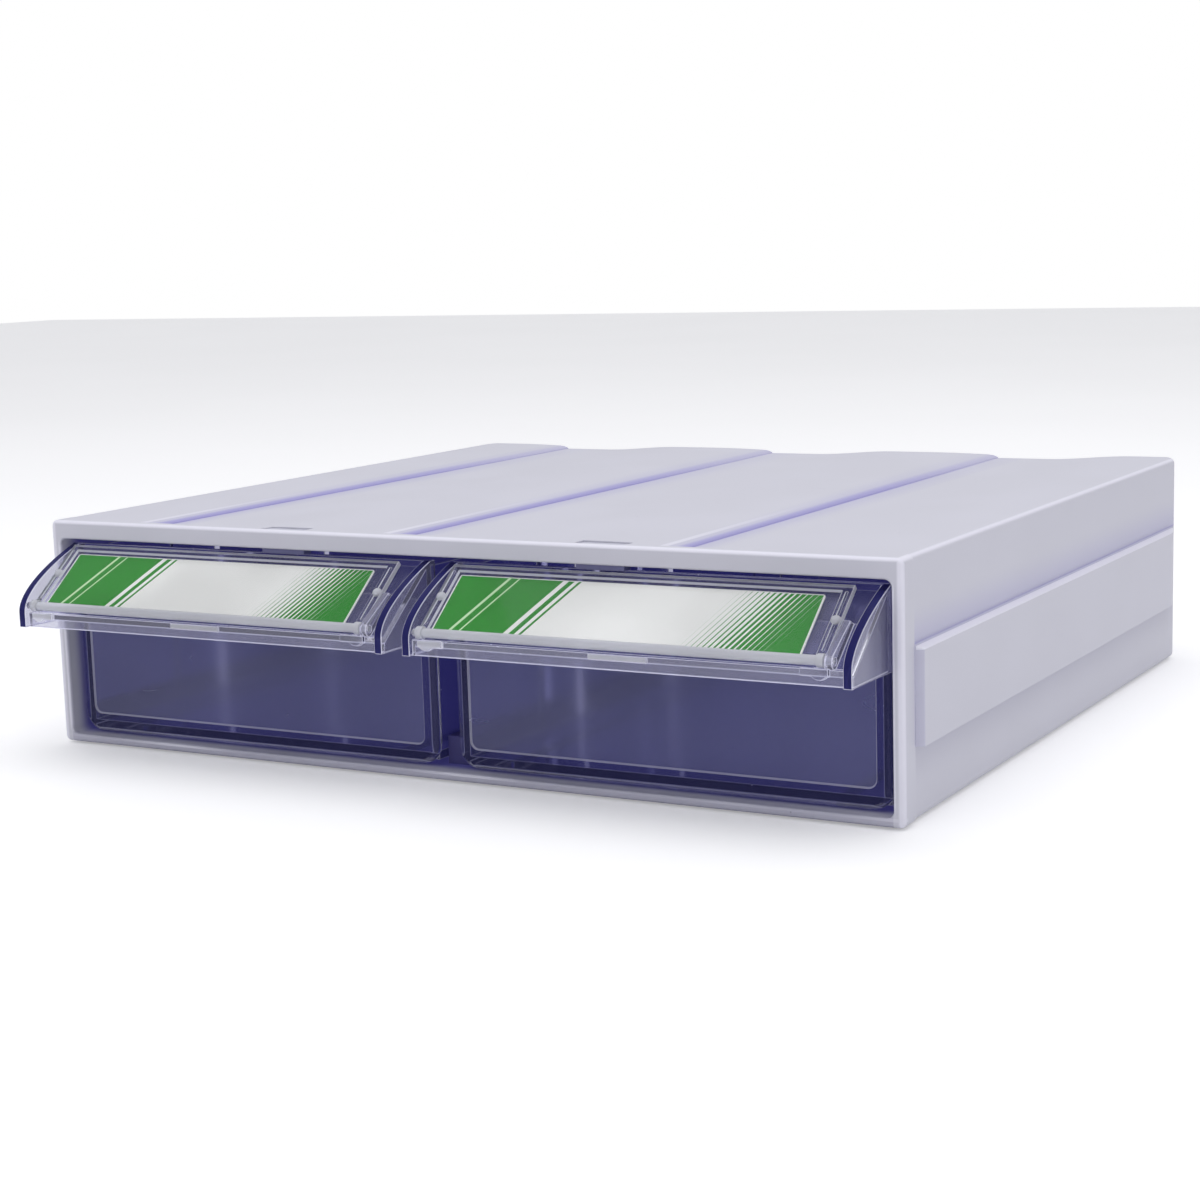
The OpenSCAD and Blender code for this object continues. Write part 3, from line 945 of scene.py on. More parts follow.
    def loop(self, half: float, low: float, high: float, r: float) -> np.ndarray:
        """One closed outline across the case, anticlockwise, always with as many points.

        Args:
            half: Half the outline's width.
            low: Height of its lower side.
            high: Height of its upper side.
            r: Radius of its corners.

        Returns:
            Pairs of X and Z.
        """
        side = np.linspace(low + r, high - r, 12)[1:-1]
        top = self.columns()[::-1]
        bottom = np.linspace(r - half, half - r, 30)[1:-1]
        arcs = corner_arcs(-half, half, low, high, r, 8)
        rows = [(np.full(len(side), half), side), (top, np.full(len(top), high)),
                (np.full(len(side), -half), side[::-1]), (bottom, np.full(len(bottom), low))]
        return np.concatenate([np.concatenate([arc, np.stack(row, 1)]) for arc, row in zip(arcs, rows)])

    def stations(self) -> list[Station]:
        """The path that the outline follows: out of the room inside, round the front, to the rear.

        Edges are quarter circles: an inset of r * (1 - sin t) goes with a depth of
        r * (1 - cos t), or the other way round. The wall drops behind the collar as half a
        cosine wave.

        Returns:
            The stops, in order.
        """
        inner = self.half_w - self.wall
        rows = [Station(y, inner, self.floor_z, self.ceiling_z, self.opening_r, 0.0)
                for y in np.linspace(self.depth - self.back, self.collar_d + 0.02, 12)]
        rows += [Station(y, inner, self.floor_z, self.opening_z, self.opening_r, 0.0)
                 for y in (self.collar_d, 6.0, 3.0)]
        for t in np.linspace(0, QUARTER, 5):
            e = self.inner_round * (1 - math.cos(t))
            rows.append(Station(self.inner_round * (1 - math.sin(t)), inner + e, self.floor_z - e,
                                self.opening_z + e, self.opening_r + e, 0.0))
        for t in np.linspace(0, QUARTER, 8):
            e = self.front_round * (1 - math.sin(t))
            rows.append(Station(self.front_round * (1 - math.cos(t)), self.half_w - e, self.low + e,
                                self.high - e, self.edge_r - e, 0.0))
        start, (near, far) = self.channel_start, self.pocket_y
        on_collar = [(near - self.step, 0.0), (near + self.step, 0.0), (3.0, 0.0), (start, 0.0),
                     (start + 0.12, 0.2), (start + 0.3, 0.8), (start + 0.42, 1.0), (6.0, 1.0),
                     (far - self.step, 1.0), (far + self.step, 1.0)]
        rows += [Station(y, self.half_w, self.low, self.high, self.edge_r, share)
                 for y, share in on_collar]
        for t in np.linspace(0, math.pi, 9):
            rows.append(Station(self.collar_d - 0.4 + 0.8 * (t / math.pi),
                                self.half_w - self.panel_setback * (1 - math.cos(t)) / 2,
                                self.low, self.high, self.edge_r, 1.0))
        rows += [Station(y, self.panel, self.low, self.high, self.edge_r, 1.0)
                 for y in np.linspace(self.collar_d + 3, self.depth - self.rear_r, 14)]
        for t in np.linspace(0, QUARTER, 14)[1:]:
            y = self.depth - self.rear_r * (1 - math.sin(t))
            past = max(0.0, (y - self.depth + self.rear_round) / self.rear_round)
            edge = self.rear_round * (1 - math.sqrt(max(0.0, 1 - past**2)))
            rows.append(Station(y, self.panel - self.rear_r * (1 - math.cos(t)), self.low + edge,
                                self.high - edge, self.edge_r, 1.0))
        return rows

    def body(self) -> Shell:
        """The shell, as the outline carried along its path, with the channels and the two clip
        pockets pressed into the outer top.

        Returns:
            The case's shell.
        """
        rings = []
        near, far = self.pocket_y
        outer = False
        for y, half, low, high, r, share in self.stations():
            x, z = self.loop(half, low, high, r).T
            outer = outer or high > self.ceiling_z + 1
            if outer:
                top = z > high - 0.01
                z = np.where(top, z - share * self.channel(x), z)
                in_pocket = top & (abs(abs(x) - self.clip_x) < self.pocket_half) & (near < y < far)
                z = np.where(in_pocket & (high == self.high), self.pocket_z, z)
            rings.append(np.stack([x, np.full(len(x), y), z], 1))
        return loft(self.seated(np.array(rings)))

    def seated(self, points: np.ndarray) -> np.ndarray:
        """Moves points from the front face onto the frame's origin under the case's middle."""
        return points + np.array([0, self.front, 0])

    def side_strip(self, side: int) -> Shell:
        """A raised strip on one side wall.

        Its height over the wall is a soft minimum of three slopes and 1, the sum of t ** -p to
        the power -1 / p, where each t is the distance from one edge in bevel widths. The rear
        end runs out in a longer slope, and the lower edge is a wall.

        Args:
            side: -1 for the left wall and 1 for the right.

        Returns:
            The strip's shell.
        """
        height, power = self.panel_setback + self.strip_proud, 10.0
        y0, y1 = self.collar_d, self.depth - self.rear_r
        rise = self.strip_high - self.strip_low
        shares = np.array([0, 0.2, 0.5, 0.8, 0.95, 1.05, 1.2, 1.5, 2.5])
        ends = shares * self.strip_bevel
        y = np.concatenate([y0 + ends, np.linspace(y0 + 12, y1 - 35, 12),
                            (y1 - shares * self.strip_tail)[::-1]])
        z = np.concatenate([[0, 0.02, 0.06, 0.16, 0.35, 1], np.linspace(3, rise - 9, 6),
                            rise - ends[::-1]])
        foot = np.concatenate([[-0.6, 0.88, 0.96, 0.99, 1, 1], np.ones(len(z) - 6)])
        yy, zz = np.meshgrid(y, z, indexing="ij")
        slopes = [(yy - y0) / self.strip_bevel, (y1 - yy) / self.strip_tail,
                  (rise - zz) / self.strip_bevel]
        total = sum(np.maximum(s, 0.02) ** -power for s in slopes) + 1
        up = height * total ** (-1 / power) * foot
        top = np.stack([side * (self.panel + up), yy, self.strip_low + zz], -1)
        sunk = np.full_like(yy, side * (self.panel - self.buried))
        under = np.stack([sunk, yy, self.strip_low + zz], -1)
        return sheet_between(self.seated(top), self.seated(under))

    def bars(self, corners: Sequence[tuple[Corner, Corner]], r: float) -> Shell:
        """Bars with rounded edges.

        Args:
            corners: Lowest and highest corner of each bar.
            r: Radius of their edges.

        Returns:
            One shell of all of them, seated under the case's middle.
        """
        shell = merged([soft_bar(low, high, r) for low, high in corners])
        shell.points[:, 1] += self.front * MM
        return shell

    def runners(self) -> Shell:
        """Rails under the drawers, and the side and centre guides.

        Returns:
            One shell of all of them.
        """
        end, base = self.depth - self.back + 0.4, self.floor_z - self.buried
        top, start = self.floor_z + self.guide_h, self.guide_start
        near, far = self.half_w - self.wall - self.guide_w, self.half_w - self.wall + self.buried
        rails = [((s * c - self.rail_half, self.rail_start, base),
                  (s * c + self.rail_half, end, self.floor_z + self.rail_h))
                 for s in (-1, 1) for c in self.rail_centres]
        guides = [((x0, start, base), (x1, end, top))
                  for x0, x1 in ((-far, -near), (near, far), (-self.middle_half, self.middle_half))]
        return self.bars(rails + guides, 0.35)

    def ridges(self) -> Shell:
        """Three ridges under the floor, which the case stands on and which fit the channels.

        Returns:
            One shell of all of them.
        """
        y0, y1, play = self.ridge_end, self.depth - self.ridge_end, self.ridge_play
        top, width = self.low + self.buried, self.channel_w - play
        return self.bars([((foot + play, y0, 0), (foot + width, y1, top))
                          for foot in self.channel_feet], 0.3)

    def from_foot(self, w: Wiring, p: Place) -> Socket:
        """Distance across from the nearest channel foot.

        Args:
            w: Wiring of the material.
            p: Object coordinates.

        Returns:
            The distance in millimetres, negative to the left.
        """
        first, pitch = self.channel_feet[0], self.channel_feet[1] - self.channel_feet[0]
        turns = w.math("DIVIDE", w.math("SUBTRACT", p.x, first - pitch / 2), pitch)
        return w.product(w.math("SUBTRACT", w.math("FRACT", turns), 0.5), pitch)

    def channelled(self, w: Wiring, p: Place) -> Socket:
        """Mask of the outer top where the channels run.

        Args:
            w: Wiring of the material.
            p: Object coordinates.

        Returns:
            The mask.
        """
        start = self.front + self.channel_start
        return w.product(w.ramp(p.z, self.ceiling_z + 0.5, self.ceiling_z + 1.5),
                         w.inside(p.x, self.channel_feet[0] - 9, self.channel_feet[-1] + 11, 2),
                         w.ramp(p.y, start - 0.5, start + 0.5))

    def creases(self, w: Wiring) -> Socket:
        """Mask of painted purple shade along each crease: the channels' steep sides with a soft halo of
        it around their foot, wider and paler to the rear, and the lines where the side strips meet the
        walls.

        Args:
            w: Wiring of the material.

        Returns:
            The mask.
        """
        p, reach = w.place(), self.shading
        spread, rear = reach.to_rear
        before, behind, share = reach.glow
        d = w.math("DIVIDE", self.from_foot(w, p), w.ramp(p.y, self.front, -self.front, 1.0, spread))
        steep = w.product(w.ramp(d, -reach.steep[0], -0.4), w.fall(d, 0.1, reach.steep[1]))
        glow = w.product(w.ramp(d, -before, -1), w.fall(d, 0, behind), share)
        on_top = w.product(self.channelled(w, p), w.ramp(p.y, 0.0, -self.front, 1.0, rear))
        on_wall = w.math("GREATER_THAN", w.math("ABSOLUTE", p.x), self.panel - 0.5)
        low, high, start = self.strip_low, self.strip_high, self.front + self.collar_d
        line, halo = (w.product(w.ramp(p.z, high - foot, high), w.fall(p.z, high, high + up, strength))
                      for foot, (up, strength) in ((0.3, reach.line), (1, reach.halo)))
        above = w.product(w.greatest(line, halo), w.ramp(p.y, start, start + 1))
        soft, strength = reach.end
        end = w.product(w.inside(p.y, start - 0.6, start + 1.2, soft), w.inside(p.z, low, high, 0.5),
                        strength)
        return w.math("ADD", w.product(w.greatest(steep, glow), on_top),
                      w.product(w.greatest(above, end), on_wall), clamp=True)

    def shades(self, w: Wiring) -> Socket:
        """Mask of painted shade: a shadow painted on the walls just below the side strips, and shade on
        the thin front edge of the floor, darkest along its lower edge.

        Args:
            w: Wiring of the material.

        Returns:
            The mask.
        """
        p, (down, strength) = w.place(), self.shading.below
        across, low, upper = w.math("ABSOLUTE", p.x), self.strip_low, self.shading.sill
        wall = w.product(w.math("GREATER_THAN", across, self.panel - 0.5),
                         w.math("LESS_THAN", across, self.panel + 0.4),
                         w.ramp(p.z, low + 0.2, low), w.ramp(p.z, low - down, low, 0.0, strength),
                         w.ramp(p.y, self.front + self.collar_d, self.front + 12))
        sill = w.product(w.fall(p.y, self.front + 1.5, self.front + 3),
                         w.math("LESS_THAN", across, self.half_w - self.wall),
                         w.greatest(w.fall(p.z, self.floor_z + 0.2, self.floor_z + 1.2, upper),
                                    w.fall(p.z, self.low + 0.2, self.low + 0.9)))
        return w.greatest(wall, sill)

    def room(self, w: Wiring) -> Socket:
        """Mask of the space inside the case, painted a dark indigo shade and given a painted glow. It
        deepens over the first centimetre behind the front face.

        Args:
            w: Wiring of the material.

        Returns:
            The mask.
        """
        p = w.place()
        wide = self.half_w - self.wall + 0.2
        return w.product(w.inside(p.x, -wide, wide, 0.4),
                         w.inside(p.z, self.floor_z - 0.3, self.ceiling_z + 0.3, 0.4),
                         w.ramp(p.y, self.front + 3, self.front + 11),
                         w.fall(p.y, -self.front - 2, -self.front - 1))

    def crests(self, w: Wiring) -> Socket:
        """Mask of painted highlights: the top's edges, the upright front edges, the inner edges of the
        opening's sides, the side strips' upper bevels, the channels' shoulders, and glints painted in
        patches along the front edge of the floor.

        Args:
            w: Wiring of the material.

        Returns:
            The mask.
        """
        p, (back, strength) = w.place(), self.shading.shoulder_run
        across, inner, front = w.math("ABSOLUTE", p.x), self.half_w - self.wall, self.front
        at_front = w.fall(p.y, front + 0.7, front + 1.7)
        at_top = w.ramp(p.z, self.high - 1.6, self.high - 0.6)
        at_side = w.ramp(across, self.panel - 1.8, self.panel - 0.8)
        mouth = w.product(w.inside(across, inner - 0.2, inner + 0.7, 0.3), w.inside(p.z, 8, 74, 4))
        strip = w.product(w.inside(p.z, self.strip_high - 1.4, self.strip_high - 0.5, 0.3),
                          w.math("GREATER_THAN", across, self.half_w + 0.2))
        shoulder = w.product(w.inside(self.from_foot(w, p), *self.shading.shoulder, 1.2),
                             self.channelled(w, p), w.fall(p.y, front, front + back, strength))
        sill = w.product(w.inside(p.z, self.floor_z - 0.8, self.floor_z, 0.3),
                         w.fall(p.y, front + 1.5, front + 3),
                         w.ramp(w.noise(p.at, self.shading.patches, 1.0), 0.42, 0.62, 0.15, 1.0))
        return w.greatest(w.product(at_top, w.greatest(at_side, at_front)),
                          w.product(at_front, w.greatest(at_side, mouth)), strip, shoulder, sill)

    def under_header(self, w: Wiring) -> Socket:
        """Mask of painted shade on the stop clips' feet, under the header."""
        return w.fall(w.place().z, 78.4, 79.5)

    def build(self) -> list[Piece]:
        """Builds and dresses the case.

        Returns:
            Its pieces.
        """
        # The case's finish paints shade below the side strips and on the floor's front edge, purple
        # shade along each crease, highlights on the edges, and dark indigo shade with a painted glow
        # inside.
        finish = SatinPlastic("case plastic", (0.655, 0.652, 0.735), 0.36, tints=(
            (self.shades, (0.30, 0.29, 0.42)), (self.creases, (0.38, 0.36, 0.66)),
            (self.crests, (0.84, 0.83, 0.93)), (self.room, (0.09, 0.085, 0.27))),
            glow=(self.room, (0.018, 0.0165, 0.068))).material()
        # The runners are given a dark indigo: painted shade of the space inside the case.
        shaded = SatinPlastic("shaded plastic", (0.075, 0.07, 0.23), 0.45).material()
        strips = merged([self.side_strip(side) for side in (-1, 1)])
        pieces = [make_piece("case_body", self.body(), finish),
                  make_piece("side_strips", strips, finish),
                  make_piece("drawer_runners", self.runners(), shaded),
                  make_piece("stacking_ridges", self.ridges(), finish)]
        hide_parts("case_shell")
        for piece in pieces:
            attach(piece, "case")
        # The clips' feet take painted shade under the header.
        clip = SatinPlastic("clip plastic", (0.56, 0.56, 0.66), 0.42,
                            tints=((self.under_header, (0.17, 0.17, 0.33)),)).material()
        for side in Side:
            frame["nodes"][f"{side.word}_stop_clip"].material_slots[0].material = clip
        return pieces


@dataclass
class SlopePlane:
    """The sloped label plate of one drawer, as a frame for what lies on it.

    A place is given by its X, by its distance up the slope from the cover's hinge axis and by its
    lift out of the slope from the same axis.

    Attributes:
        start: X of the drawer's left end.
        axis: Y and Z of the hinge axis.
        angle: Slope in radians.
    """

    start: float
    axis: tuple[float, float]
    angle: float

    @classmethod
    def of(cls, side: Side, start: float) -> "SlopePlane":
        """Reads the hinge axis from the joint and the slope from the card's largest face.

        Args:
            side: Which drawer.
            start: X of its left end.

        Returns:
            The drawer's slope.
        """
        joint = next(j for j in frame["joints"] if j["name"] == f"{side.word}_cover_hinge")
        faces = frame["nodes"][f"{side.word}_label_card"].data.polygons
        normal = max(faces, key=lambda face: face.area).normal
        angle = math.atan2(abs(normal[1]), abs(normal[2]))
        return cls(start, (joint["pos_m"][1] / MM, joint["pos_m"][2] / MM), angle)

    def points(self, x: np.ndarray, up: np.ndarray, lift: np.ndarray) -> np.ndarray:
        """Turns places on the slope into points.

        Y is up * cos - lift * sin, and Z is up * sin + lift * cos, both from the axis.

        Args:
            x: Places across, from the drawer's left end.
            up: Distances up the slope.
            lift: Lifts out of the slope.

        Returns:
            Points, with X, Y and Z on the last axis.
        """
        c, s = math.cos(self.angle), math.sin(self.angle)
        x, up, lift = np.broadcast_arrays(self.start + x, up, lift)
        return np.stack([x, self.axis[0] + up * c - lift * s, self.axis[1] + up * s + lift * c], -1)


@dataclass
class LabelCard:
    """The printed paper card on one label plate.

    Places across are from the left end of the drawer, and places up the slope from the hinge.

    Attributes:
        side: Which drawer.
        left: Place of its left end.
        right: Place of its right end.
        low: Place of its lower edge.
        high: Place of its upper edge.
        plate: Lift of the label plate under it.
        air: Gap between plate and card.
        thick: Height of its face over the plate.
        corner: Radius of its corners.
        bow: How far its middle bows up.
    """

    side: Side
    left: float = 7.8
    right: float = 140.8
    low: float = 1.8
    high: float = 27.4
    plate: float = -2.0
    air: float = 0.02
    thick: float = 0.4
    corner: float = 0.8
    bow: float = 0.08

    def build(self, plane: SlopePlane, finish: Material) -> Piece:
        """Builds the card: a grid whose corners are drawn in to quarter circles.

        Near a corner, a row's ends draw in by r - sqrt(r * r - d * d), where d is the row's
        distance past the corner's centre. The card bows up a little along its middle, as
        bow * sin(pi * v) * sin(pi * u).

        Args:
            plane: The slope that the card lies on.
            finish: The printed material.

        Returns:
            The card.
        """
        rows = 0.5 - 0.5 * np.cos(math.pi * np.linspace(0, 1, 22))
        u, v = np.meshgrid(np.linspace(0, 1, 34), rows, indexing="xy")
        height = self.high - self.low
        d = np.maximum(np.abs(v - 0.5) * height - (height / 2 - self.corner), 0)
        inset = self.corner - np.sqrt(np.maximum(self.corner**2 - d**2, 0))
        x = self.left + inset + u * (self.right - self.left - 2 * inset)
        up = self.low + v * height
        bow = self.bow * np.sin(math.pi * v) * np.sin(math.pi * u)
        top = plane.points(x, up, self.plate + self.thick + bow)
        under = plane.points(x, up, self.plate + self.air + bow)
        piece = make_piece(f"{self.side.word}_card", sheet_between(top, under), finish)
        self.lay_print(piece, plane)
        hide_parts(f"{self.side.word}_label_card")
        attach(piece, f"{self.side.word}_drawer")
        return piece

    def lay_print(self, piece: Piece, plane: SlopePlane) -> None:
        """Gives the card its print map: U along it and V up the slope.

        Args:
            piece: The card.
            plane: The slope that it lies on.
        """
        mesh = piece.data
        co = np.empty(len(mesh.vertices) * 3)
        mesh.vertices.foreach_get("co", co)
        x, y, z = (co / MM).reshape(-1, 3).T
        along = (x - plane.start - self.left) / (self.right - self.left)
        up = (y - plane.axis[0]) * math.cos(plane.angle) + (z - plane.axis[1]) * math.sin(plane.angle)
        corner = np.empty(len(mesh.loops), int)
        mesh.loops.foreach_get("vertex_index", corner)
        uv = np.stack([along, (up - self.low) / (self.high - self.low)], 1)[corner]
        mesh.uv_layers.new(name="print").data.foreach_set("uv", uv.ravel())


@dataclass
class LabelCover:
    """The clear hinged cover of one label: panel, bar with knuckles and pins, and grip knobs.

    Places across are from the left end of the drawer, and places up the slope and lifts from the
    hinge axis.

    Attributes:
        side: Which drawer.
        left: Place of the panel's left end.
        right: Place of its right end.
        top: Place of its upper edge.
        under: Lift of its underside.
        window: Lift of the window.
        rim: Height of the rims over the window.
        rim_w: Width of the end rims.
        rim_top_w: Width of the upper rim.
        soft: Radius of the outer edges.
        slope_half: Half the width of the slope between window and rim.
        groove_w: Width of the groove in an end rim.
        groove_depth: Depth of the groove.
        groove_start: Where it starts.
        groove_fade: Length over which it runs out.
        bar_r: Radius of the bar.
        knuckle_r: Radius of the knuckles.
        knuckle_w: Width of a knuckle.
        chamfer: Chamfer at the steps between them.
        pin_r: Radius of the pins.
        pin_ends: Places of the pins' outer ends.
        knob_r: Radius of the grip knobs.
        knob_up: Place of their middle up the slope.
        knob_dome: Half their height, as a share of the radius.
        knob_sunk: How far their middle lies under the rim's face.
    """

    side: Side
    left: float = 4.3
    right: float = 150.0
    top: float = 30.5
    under: float = -1.3
    window: float = 0.1
    rim: float = 0.6
    rim_w: float = 3.5
    rim_top_w: float = 2.8
    soft: float = 0.35
    slope_half: float = 0.3
    groove_w: float = 1.0
    groove_depth: float = 0.4
    groove_start: float = 3.0
    groove_fade: float = 0.8
    bar_r: float = 1.6
    knuckle_r: float = 2.2
    knuckle_w: float = 2.5
    chamfer: float = 0.2
    pin_r: float = 1.1
    pin_ends: tuple[float, float] = (1.1, 152.9)
    knob_r: float = 1.7
    knob_up: float = 16.0
    knob_dome: float = 0.85
    knob_sunk: float = 0.4

    def panel(self, plane: SlopePlane) -> Shell:
        """The window and its rims, as one sheet of varying thickness.

        The upper face lies at the window's lift plus the rim's height times a smooth step of the
        distance from the window's edge, less a round groove along the middle of each end rim. Its
        outer edges drop away as quarter circles.

        Args:
            plane: The slope that the cover lies on.

        Returns:
            The panel's shell.
        """
        width, slope = self.right - self.left, self.slope_half * np.array([-1, -0.5, 0, 0.5, 1])
        edge = self.soft * (1 - np.cos(np.linspace(0, QUARTER, 5)))
        groove = self.rim_w / 2 + self.groove_w * np.linspace(-0.6, 0.6, 9)
        ends = np.concatenate([edge, groove, self.rim_w + slope])
        x = np.unique(np.concatenate([ends, width - ends, np.linspace(6, width - 6, 30)]))
        up = np.unique(np.concatenate([[0.0, 1.0, 2.0, 3.0, 3.4], np.linspace(5, self.top - 5, 8),
                                       self.top - self.rim_top_w - slope, self.top - edge]))
        x, up = np.meshgrid(x, up, indexing="xy")
        from_end, from_top = np.minimum(x, width - x), self.top - up
        on_end = smooth_step((self.rim_w + self.slope_half - from_end) / (2 * self.slope_half))
        on_top = smooth_step((self.rim_top_w + self.slope_half - from_top) / (2 * self.slope_half))
        t = np.clip(np.abs(from_end - self.rim_w / 2) / (self.groove_w / 2), 0, 1)
        in_groove = (np.sqrt(1 - t**2) * smooth_step((up - self.groove_start) / self.groove_fade)
                     * smooth_step((from_top - self.rim_top_w) / self.groove_fade))
        lift = self.window + self.rim * np.maximum(on_end, on_top) - self.groove_depth * in_groove
        inward = np.maximum(self.soft - np.minimum(from_end, from_top), 0)
        drop = self.soft - np.sqrt(np.maximum(self.soft**2 - inward**2, 0))
        return sheet_between(plane.points(self.left + x, up, lift - drop),
                             plane.points(self.left + x, up, self.under + 0.5 * drop))

    def bar(self, plane: SlopePlane) -> Shell:
        """The bar along the lower edge with its knuckles and pins, turned about the hinge axis.

        The profile steps from pin to knuckle to bar, with a small chamfer at each step, and back
        in the same way at the other end.

        Args:
            plane: The slope that the cover lies on.

        Returns:
            The bar's shell.
        """
        c, profile = self.chamfer, []
        for pin, end, s in ((self.pin_ends[0], self.left, 1), (self.pin_ends[1], self.right, -1)):
            inner = end + s * self.knuckle_w
            half = [(pin, self.pin_r - c), (pin + s * c, self.pin_r), (end, self.pin_r),
                    (end, self.knuckle_r - c), (end + s * c, self.knuckle_r),
                    (inner - s * c, self.knuckle_r), (inner, self.knuckle_r - c), (inner, self.bar_r),
                    (inner + s * 20, self.bar_r)]
            profile += half[::s]
        return turned(np.array(profile) + np.array([plane.start, 0]), plane.axis)

    def knobs(self, plane: SlopePlane) -> Shell:
        """Two round grip knobs on the end rims: balls, flattened along their height, as rings of
        latitude from pole to pole.

        Args:
            plane: The slope that the cover lies on.

        Returns:
            One shell of both.
        """
        a = np.linspace(0, 2 * math.pi, 24, endpoint=False)
        b = np.linspace(0.06, math.pi - 0.06, 12)
        ring = self.knob_r * np.sin(b)[:, None]
        foot = self.window + self.rim - self.knob_sunk
        lift = foot + self.knob_dome * self.knob_r * np.cos(b)[:, None]
        return merged([loft(plane.points(x + ring * np.cos(a), self.knob_up + ring * np.sin(a), lift))
                       for x in (self.left + self.rim_w / 2, self.right - self.rim_w / 2)])

    def build(self, plane: SlopePlane, clear: Material, frosted: Material) -> list[Piece]:
        """Builds and dresses the cover.

        Args:
            plane: The slope that the cover lies on.
            clear: Material of the panel.
            frosted: Material of the bar, the knobs and the panel's edges.

        Returns:
            Its pieces.
        """
        word = self.side.word
        pieces = [make_piece(f"{word}_cover_panel", self.panel(plane), clear),
                  make_piece(f"{word}_cover_bar", self.bar(plane), frosted),
                  make_piece(f"{word}_cover_knobs", self.knobs(plane), frosted)]
        for piece in pieces:
            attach(piece, f"{word}_cover")
        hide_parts(f"{word}_label_cover")
        # The panel's edges and slopes take the frosted finish as a painted highlight.
        out_of_slope = np.array([0, -math.sin(plane.angle), math.cos(plane.angle)])
        paint_faces(pieces[0], frosted, np.abs(face_arrays(pieces[0])[1] @ out_of_slope) < 0.9)
        return pieces


def on_visor(w: Wiring) -> Socket:
    """1 on the visors, in front of the drawers' fronts, and a little on the rest: how much painted glow
    the pane's rims and the softened edges show.
    """
    return w.ramp(w.place().y, -150.6, -150.2, 1.0, 0.25)


class Look(Enum):
    """The finishes that both drawers share."""

    # The drawer plastic carries a faint painted glow.
    CLEAR = ClearPlastic("drawer plastic", (0.78, 0.78, 0.92), 0.03, 0.97, sheen_tint=INDIGO,
                         glow=(0.0012, 0.0012, 0.006))
    PANE = ClearPlastic("hazy pane", (0.46, 0.47, 0.70), 0.2, 0.8, sheen_tint=INDIGO)
    # A hazier, paler copy of the drawer plastic on the lip's front, the post and the cheeks' outer
    # sides; on the front plate's rounded lower edge it is painted light.
    MILKY = ClearPlastic("milky plastic", (0.84, 0.84, 0.95), 0.12, 0.82)
    # Painted glow on the upright ribs: a paler copy of the drawer plastic with emission.
    LIT = ClearPlastic("lit edges", (0.85, 0.85, 0.95), 0.2, 0.7, glow=(0.34, 0.34, 0.42))
    # Painted glow on the small walls around the pane and on the softened edges, full on the visors.
    HAIRLINE = ClearPlastic("hairline edges", (0.85, 0.85, 0.95), 0.2, 0.7, glow=(0.2, 0.2, 0.25),
                            dimmer=on_visor)
    # A darker copy of the drawer plastic: painted shade on the front plate's face around the pane.
    BORDER = ClearPlastic("deep plastic", (0.42, 0.42, 0.64), 0.03, 0.97, ior=1.3, sheen_tint=INDIGO)
    # A near-black copy of the drawer plastic with a faint painted glow: painted shade on the cheeks'
    # narrow edges.
    EDGE = ClearPlastic("dark edges", (0.02, 0.02, 0.12), 0.08, 0.3, ior=1.2,
                        glow=(0.001, 0.001, 0.008))
    # A frosted finish for the bar, the knobs and the lip's pads; on the cover panel's edges and slopes
    # it is a painted highlight.
    FROSTED = ClearPlastic("frosted plastic", (0.92, 0.93, 0.98), 0.3, 0.5)
    COVER = ClearPlastic("cover plastic", (0.99, 0.99, 1.0), 0.02, 0.99, ior=1.2)
    CARD = PrintedCard("label card", (0.95, 0.96, 0.93), (0.002, 0.27, 0.002), (0.6, 0.85, 0.52))


class Faces(NamedTuple):
    """The faces of a drawer: their centres, from its left end and the case's front face, and the
    parts of their normals."""

    x: np.ndarray
    y: np.ndarray
    z: np.ndarray
    nx: np.ndarray
    ny: np.ndarray
    nz: np.ndarray


